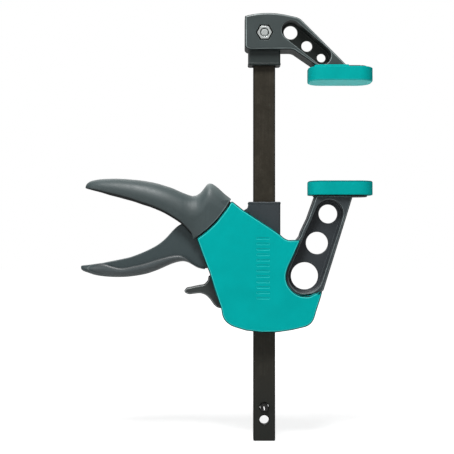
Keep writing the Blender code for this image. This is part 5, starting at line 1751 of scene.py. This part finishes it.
    def gates(self) -> list[Solid]:
        """Tools for the grip's root, the arm, the levers, the collar, its flare and the bar.

        Returns:
            The tools.
        """
        arm = SlidingBody().arm_outline().inset(-GAP)
        made = [self.gate(outline, self.inner)
                for outline in (carried(self.root_rows), arm, carried(self.lever_rows))]
        made += [self.gate(Outline.rectangle(riding(low), riding(high)), depth)
                 for low, high, depth in self.openings]
        return made

    def bosses(self) -> list[Solid]:
        """Posts for the screws and bosses for the pivot pins.

        Returns:
            The posts and bosses.
        """
        root = self.inner + self.sunk
        made = [self.rod(place, self.post_radius, self.parting, root) for place in SCREW_PLACES]
        return made + [self.rod(pivot, radius, end, root) for pivot, _, radius, end in self.pins]

    def bores(self) -> list[Solid]:
        """Holes for pins and screws; the back cover's screws pass through it and seat their heads.

        Returns:
            The tools.
        """
        made = [self.rod(pivot, bore, -OVERRUN, self.pin_bore_end) for pivot, bore, _, _ in self.pins]
        for place in SCREW_PLACES:
            if self.side < 0:
                made.append(self.rod(place, self.screw_bore, -OVERRUN, self.screw_bore_end))
                continue
            circle = Outline.circle(riding(place), self.screw_bore, BORE_SIDES)
            made.append(Solid.slab("screw_bore", circle, self.seat_levels))
        return made

    def ribs(self) -> list[Solid]:
        """Tools for a column of shallow plain ribs on the cover's face.

        Returns:
            The tools.
        """
        made = []
        face = self.side * COVER_HALF
        levels = pocket(face, face - self.side * self.rib_depth, self.rib_edge, self.rib_edge)
        for index in range(self.rib_count):
            low, high = (riding((x, z - index * self.rib_pitch)) for x, z in self.rib)
            outline = Outline.rectangle(low, high, self.rib_corner, steps=4)
            made.append(Solid.slab("rib", outline, levels))
        return made

    def rod(self, place: Point, radius: float, low: float, high: float) -> Solid:
        """A round rod between two depths on the cover's side."""
        return Solid.rod("rod", riding(place), radius, self.side * low, self.side * high)


@dataclass(frozen=True)
class CoverScrews:
    """Four screws with domed heads and a cross recess, driven from the back."""

    head_radius: float = 0.0024
    head_levels: tuple[Level, ...] = (  # depth and inset over a head's dome
        (0.0116, 0.0), (0.0122, 0.0), (0.0126, 0.00015), (0.0129, 0.0005), (0.0131, 0.0010), (0.0132, 0.0017),
    )
    shank_radius: float = 0.0012
    # Depth and inset along a shank, from its tip into the head
    shank_levels: tuple[Level, ...] = ((-0.0112, 0.0005), (-0.0106, 0.0), (0.0120, 0.0))
    slot_half: Point = (0.0013, 0.00028)  # half the length and half the width of the cross recess's slots
    # Depth and inset from their floor up
    slot_levels: tuple[Level, ...] = ((0.0123, 0.0001), (0.0132 + OVERRUN, 0.0))

    def build(self) -> None:
        """Make the four screws."""
        for number, place in enumerate(SCREW_PLACES, start=1):
            name = f"cover_screw_{number}"
            self.screw(riding(place)).piece(f"{name}_shape", ZINC, Body.CARRIAGE, name)

    def screw(self, centre: Point) -> Solid:
        """One screw.

        Args:
            centre: its middle.

        Returns:
            The screw.
        """
        shank = Solid.slab("shank", Outline.circle(centre, self.shank_radius, steps=24), self.shank_levels)
        shank.join(Solid.slab("head", Outline.circle(centre, self.head_radius, steps=40), self.head_levels))
        return shank.cut(*(Solid.slab("slot", Outline.centred(centre, half), self.slot_levels)
                           for half in (self.slot_half, self.slot_half[::-1])))


# Levers


@dataclass(frozen=True)
class Trigger:
    """The lower handle: a web with its pivot boss and nose, and a wide flange for the fingers."""

    top_rows: Rows = (  # the web's upper outline, from its tip to the pivot
        (-109.0, -54.2), (-108.0, -53.1), (-100.7, -51.6), (-93.6, -50.2), (-86.6, -48.7), (-81.9, -47.2),
        (-77.3, -45.4), (-72.5, -43.2), (-67.8, -40.6), (-64.8, -38.4), (-62.2, -36.0), (-59.9, -33.5),
        (-57.5, -30.9), (-54.9, -28.6), (-52.8, -27.3),
    )
    low_rows: Rows = (  # the web's lower outline, back to the tip
        (-17.5, -40.9), (-21.5, -45.4), (-30.0, -52.5), (-37.0, -55.5), (-42.0, -54.5), (-45.5, -52.6),
        (-48.6, -50.6), (-51.5, -49.5), (-57.9, -49.9), (-65.4, -52.5), (-76.4, -56.0), (-90.0, -58.5),
        (-104.0, -57.5), (-108.5, -56.6),
    )
    flange_rows: Rows = (  # distance left of the bar's axis, top, bottom and half width along the flange
        (116.7, -54.0, -56.3, 3.2), (116.2, -53.8, -56.9, 4.2), (114.9, -53.7, -57.6, 5.3),
        (112.0, -53.4, -58.6, 6.6), (108.4, -52.9, -59.8, 7.8), (104.0, -52.4, -60.6, 8.8),
        (100.0, -52.8, -61.0, 9.4), (96.0, -54.0, -61.2, 9.8), (90.8, -55.0, -61.2, 10.1),
        (85.0, -54.2, -60.8, 10.3), (76.4, -52.2, -59.4, 10.5), (70.0, -50.2, -57.4, 10.5),
        (65.4, -48.8, -55.5, 10.5), (61.0, -47.7, -53.5, 10.5), (57.9, -47.1, -52.3, 10.5),
        (54.5, -46.9, -51.4, 10.5), (51.5, -47.5, -51.1, 10.5), (48.5, -49.3, -51.8, 10.4),
        (45.5, -51.9, -53.4, 10.2), (42.0, -53.9, -55.3, 9.8), (38.0, -55.0, -56.2, 8.5),
    )
    boss_radius: float = 6.3  # radius of the pivot boss, in millimetres
    boss_arc: Point = (95, 45)  # angles between which the boss is the web's outline
    nose: Point = (-12.3, -39.7)  # middle of the nose, in millimetres
    nose_radius: float = 2.2  # its radius, in millimetres
    nose_arc: Point = (60, -110)  # angles between which it is the web's outline
    web_half: float = 0.0070
    web_edge: float = 0.0009
    hem: float = 1.6  # how far the flange's upper edges are rounded inwards, in millimetres
    hem_most: float = 0.25  # most that this takes of the half width
    hem_share: float = 0.42  # how far down that reaches, as a share of the flange's height

    def build(self) -> None:
        """Fuse web and flange and bore the pivot."""
        pivot = (TRIGGER_PIVOT[0] / MM, TRIGGER_PIVOT[1] / MM)
        rows = list(self.top_rows) + arc(pivot, self.boss_radius, *self.boss_arc, steps=8)
        rows += arc(self.nose, self.nose_radius, *self.nose_arc, steps=12) + list(self.low_rows)
        outline = Outline.drawn(rows, BODY_ORIGIN, self.web_edge + OVER_EDGE)
        web = Solid.slab("web", outline, alike(self.web_half, self.web_edge))
        web.join(Solid("flange", [self.section(*row) for row in smoothed(self.flange_rows, parts=3)]))
        web.cut(Solid.hole(riding(TRIGGER_PIVOT), TRIGGER_BORE, self.web_half, BORE_LIP, BORE_SIDES))
        web.piece("trigger_moulding", TRIGGER_NYLON, Body.TRIGGER, "trigger")

    def section(self, place: float, high: float, low: float, wide: float) -> list[Place]:
        """One cross section of the flange, flat above and arched below.

        Args:
            place: distance left of the bar's axis.
            high: its top.
            low: its bottom.
            wide: its half width.

        Returns:
            Its points in the frame.
        """
        hem, sink = min(self.hem, wide * self.hem_most), (high - low) * self.hem_share
        drop = high - low - sink
        side = quarter_round((wide, high), (-hem, -sink), steps=6)[::-1]
        side += [(wide * math.cos(turn), high - sink - drop * math.sin(turn))
                 for turn in quarter(steps=8)[1:]]
        ring = around_place(place, side)
        return ring[:len(side)] + ring[len(side) + 1:]


@dataclass(frozen=True)
class ReleaseLever:
    """The release lever: finger hook, pivot boss and the nose that levels the lock plate."""

    hook_rows: Rows = (  # its outline from the body's side round the hook to the nose
        (-33.4, -60.1), (-35.6, -60.4), (-35.9, -63.1), (-38.2, -65.7), (-42.4, -66.5), (-47.0, -67.5),
        (-49.6, -68.0), (-51.0, -69.6), (-50.4, -71.0), (-48.0, -72.0), (-44.2, -71.6), (-40.5, -71.3),
        (-37.7, -72.3), (-34.9, -74.7), (-32.1, -78.5), (-30.2, -80.2), (-28.0, -81.0), (-25.5, -79.5),
        (-24.0, -76.0), (-20.0, -73.9),
    )
    # The rest of its outline above the nose
    top_rows: Rows = ((-20.0, -66.9), (-24.5, -65.0), (-29.6, -62.0))
    nose: Point = (-13.0, -72.1)  # middle of the nose, in millimetres
    nose_radius: float = 1.6  # its radius, in millimetres
    nose_arc: Point = (-110, 100)  # angles between which it is the lever's outline
    half_depth: float = 0.0050
    edge: float = 0.0010

    def build(self) -> None:
        """Shape the lever and bore its pivot."""
        nose = arc(self.nose, self.nose_radius, *self.nose_arc, steps=12)
        rows = list(self.hook_rows) + nose + list(self.top_rows)
        outline = Outline.drawn(rows, BODY_ORIGIN, self.edge + OVER_EDGE)
        lever = Solid.slab("lever", outline, alike(self.half_depth, self.edge, steps=3))
        lever.cut(Solid.hole(riding(LEVER_PIVOT), LEVER_BORE, self.half_depth, BORE_LIP, BORE_SIDES))
        lever.piece("release_lever_moulding", LEVER_NYLON, Body.RELEASE, "release_lever")


# What works inside the covers


@dataclass(frozen=True)
class Coil:
    """A spring of round wire about the bar, its end coils closer than the rest."""

    node: str
    bottom: float  # its lower end, from the sliding pad's face
    top: float  # its upper end
    joint: str = ""  # the joint that shortens it
    travel: float = 0  # by how much it does, or 0 for a spring that keeps its length
    radius: float = 0.008433  # radius of the wire's centre line
    wire: float = 0.0012  # diameter of the wire
    pitch: float = 0.0023
    end_lift: float = 0.0018  # height of an end coil
    steps: int = 28  # points to a coil
    sides: int = 10

    def height(self, turn: float, turns: int, low: float, high: float) -> float:
        """Height of the wire's centre line after some turns.

        Args:
            turn: turns from the lower end.
            turns: turns in all.
            low: height of the lower end.
            high: height of the upper end.

        Returns:
            The height.
        """
        if turn < 1:
            return low + self.end_lift * turn
        if turn > turns - 1:
            return high - self.end_lift * (turns - turn)
        free = high - low - self.end_lift * 2
        return low + self.end_lift + free * (turn - 1) / max(turns - 2, 1)

    def line(self) -> list[Vector]:
        """The wire's centre line.

        Returns:
            Its points.
        """
        turns = int((self.top - self.bottom) / self.pitch)
        half = self.wire / 2
        points = []
        for step in range(turns * self.steps + 1):
            turn = step / self.steps
            angle = math.tau * turn
            height = self.height(turn, turns, self.bottom + half, self.top - half)
            points.append(Vector((BAR_AXIS + self.radius * math.cos(angle), self.radius * math.sin(angle),
                                  BODY_FACE + height)))
        return points

    def build(self) -> None:
        """Sweep the wire along its coils."""
        line = self.line()
        rings = []
        for index, point in enumerate(line):
            along = (line[min(index + 1, len(line) - 1)] - line[max(index - 1, 0)]).normalized()
            outward = Vector((point.x - BAR_AXIS, point.y, 0)).normalized()
            side = along.cross(outward)
            turns = (math.tau * step / self.sides for step in range(self.sides))
            rings.append([tuple(point + (outward * math.cos(turn) + side * math.sin(turn)) * (self.wire / 2))
                          for turn in turns])
        coil = Solid("coil", rings).piece(f"{self.node}_wire", WIRE, Body.CARRIAGE, self.node)
        if self.travel:
            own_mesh(coil)


@dataclass(frozen=True)
class Mechanism:
    """What works inside the covers: springs, pins and plates."""

    coils: tuple[Coil, ...] = (
        Coil("drive_spring", bottom=-0.0654, top=-0.0478, joint="drive_slide", travel=0.0048),
        Coil("lock_spring", bottom=-0.0892, top=-0.0797),
    )
    forms: tuple[SoftenedNode, ...] = (
        SoftenedNode("trigger_pin", Body.CARRIAGE, ZINC, edge=0.00015),
        SoftenedNode("release_pin", Body.CARRIAGE, ZINC, edge=0.00015),
        SoftenedNode("drive_plate_1", Body.DRIVE, PIN_STEEL, edge=0.00025),
        SoftenedNode("drive_plate_2", Body.DRIVE, PIN_STEEL, edge=0.00025),
        SoftenedNode("lock_plate", Body.LOCK, PIN_STEEL, edge=0.00025),
    )

    def build(self) -> None:
        """Make the springs, pins and plates."""
        for part in (*self.coils, *self.forms):
            part.build()


# Studio


@dataclass(frozen=True)
class Studio:
    """Pale floor, white surroundings, soft lamps and the camera."""

    camera_place: Place = (-0.0715, -0.620, -0.0972)
    sensor: float = 36.0  # width of its sensor in millimetres
    view_width: float = 0.2906  # what it sees across, at the bar's plane
    shift: Point = (-0.0022, 0.0176)  # how far the picture is shifted, in widths
    floor_height: float = -0.2288
    floor_half: float = 3.0
    floor_grey: float = 0.42
    floor_roughness: float = 0.9
    floor_gleam: float = 0.1
    world_light: float = 0.27  # strength of the even light from all sides
    lamps: tuple[tuple[str, Place, float, float], ...] = (  # name, place, side length and watts of each lamp
        ("key", (-0.16, -0.62, 0.95), 0.36, 15.6),
        ("fill", (-0.75, -0.60, -0.02), 0.50, 1.7),
        ("back", (-0.30, 0.80, 0.60), 0.80, 3.0),
    )
    near_glow: float = 0.72  # white that the floor shows beside its lit colour, near the clamp
    far_glow: float = 0.93  # the same where the lamps' light has faded
    glow_from: float = 0.20  # distance from the clamp where the one begins to turn into the other
    glow_to: float = 0.80  # distance where it has

    def build(self) -> None:
        """Set up the studio."""
        self.add_camera()
        self.add_floor()
        self.light_world()
        for name, place, size, power in self.lamps:
            self.add_lamp(name, place, size, power)
        bpy.context.scene.view_settings.view_transform = "Standard"

    def add_camera(self) -> None:
        """A level camera that sees the frame of the photograph."""
        data = bpy.data.cameras.new("camera")
        data.sensor_width = self.sensor
        data.sensor_fit = "HORIZONTAL"
        data.lens = self.sensor * -self.camera_place[1] / self.view_width
        data.shift_x, data.shift_y = self.shift
        made = placed("camera", data)
        made.location = self.camera_place
        made.rotation_euler = (math.radians(90), 0, 0)
        bpy.context.scene.camera = made

    def background_ray(self, board: Board) -> Value:
        """1 for the camera's rays, which see the surroundings as white."""
        return board.node("ShaderNodeLightPath", {}, {}, "Is Camera Ray")

    def add_floor(self) -> None:
        """A wide pale floor that keeps the clamp's shadow."""
        shape = bmesh.new()
        bmesh.ops.create_grid(shape, x_segments=1, y_segments=1, size=self.floor_half)
        made = moulded("floor", shape)
        made.location = (self.camera_place[0], 0, self.floor_height)
        material = bpy.data.materials.new("pale_floor")
        board = Board(material)
        across, away, _ = board.split(board.place())
        distance = (across * across + away * away).root()
        glow = board.spread(distance, self.glow_from, self.glow_to, self.near_glow, self.far_glow)
        seen = board.mixed(self.background_ray(board) * glow, (0, 0, 0, 1), (1, 1, 1, 1))
        board.output(board.node("ShaderNodeBsdfPrincipled", {}, {
            "Base Color": (self.floor_grey, self.floor_grey, self.floor_grey, 1),
            "Roughness": self.floor_roughness,
            "Specular IOR Level": self.floor_gleam,
            "Emission Color": seen,
            "Emission Strength": 1.0,
        }))
        made.data.materials.append(material)

    def light_world(self) -> None:
        """Even light from all sides, seen as white."""
        world = bpy.data.worlds.new("surroundings")
        bpy.context.scene.world = world
        board = Board(world)
        light, seen = (board.node("ShaderNodeBackground", {}, {"Color": (1, 1, 1, 1), "Strength": strength})
                       for strength in (self.world_light, 1.0))
        mix = board.node("ShaderNodeMixShader", {}, {0: self.background_ray(board), 1: light, 2: seen})
        board.output(mix, "ShaderNodeOutputWorld")

    def add_lamp(self, name: str, place: Place, size: float, power: float) -> None:
        """A soft square lamp that faces the clamp's middle.

        Args:
            name: the lamp's name.
            place: where it stands.
            size: length of its side.
            power: watts.
        """
        data = bpy.data.lights.new(name, "AREA")
        data.shape = "SQUARE"
        data.size = size
        data.energy = power
        made = placed(name, data)
        made.location = place
        aim = Vector((self.camera_place[0], 0, self.camera_place[2])) - Vector(place)
        made.rotation_euler = aim.to_track_quat("-Z", "Y").to_euler()


def main() -> None:
    """Build and dress the clamp and light it, logging each piece's faces."""
    logging.basicConfig(level=logging.INFO, format="%(message)s")
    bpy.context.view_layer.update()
    parts = (
        Bar(),
        FixedJaw(),
        JawBolt(),
        Pad("fixed_pad", Body.BAR, FIXED_FACE, up=1, rim_reach=(0.0294, 0.0529)),
        SlidingBody(),
        Cover(side=-1, node="cover_front"),
        Cover(side=1, node="cover_back"),
        CoverScrews(),
        Pad("sliding_pad", Body.CARRIAGE, BODY_FACE, up=-1),
        Trigger(),
        ReleaseLever(),
        Mechanism(),
        Studio(),
    )
    for part in parts:
        LOG.info("building %s", type(part).__name__)
        part.build()


if __name__ == "__main__":
    main()
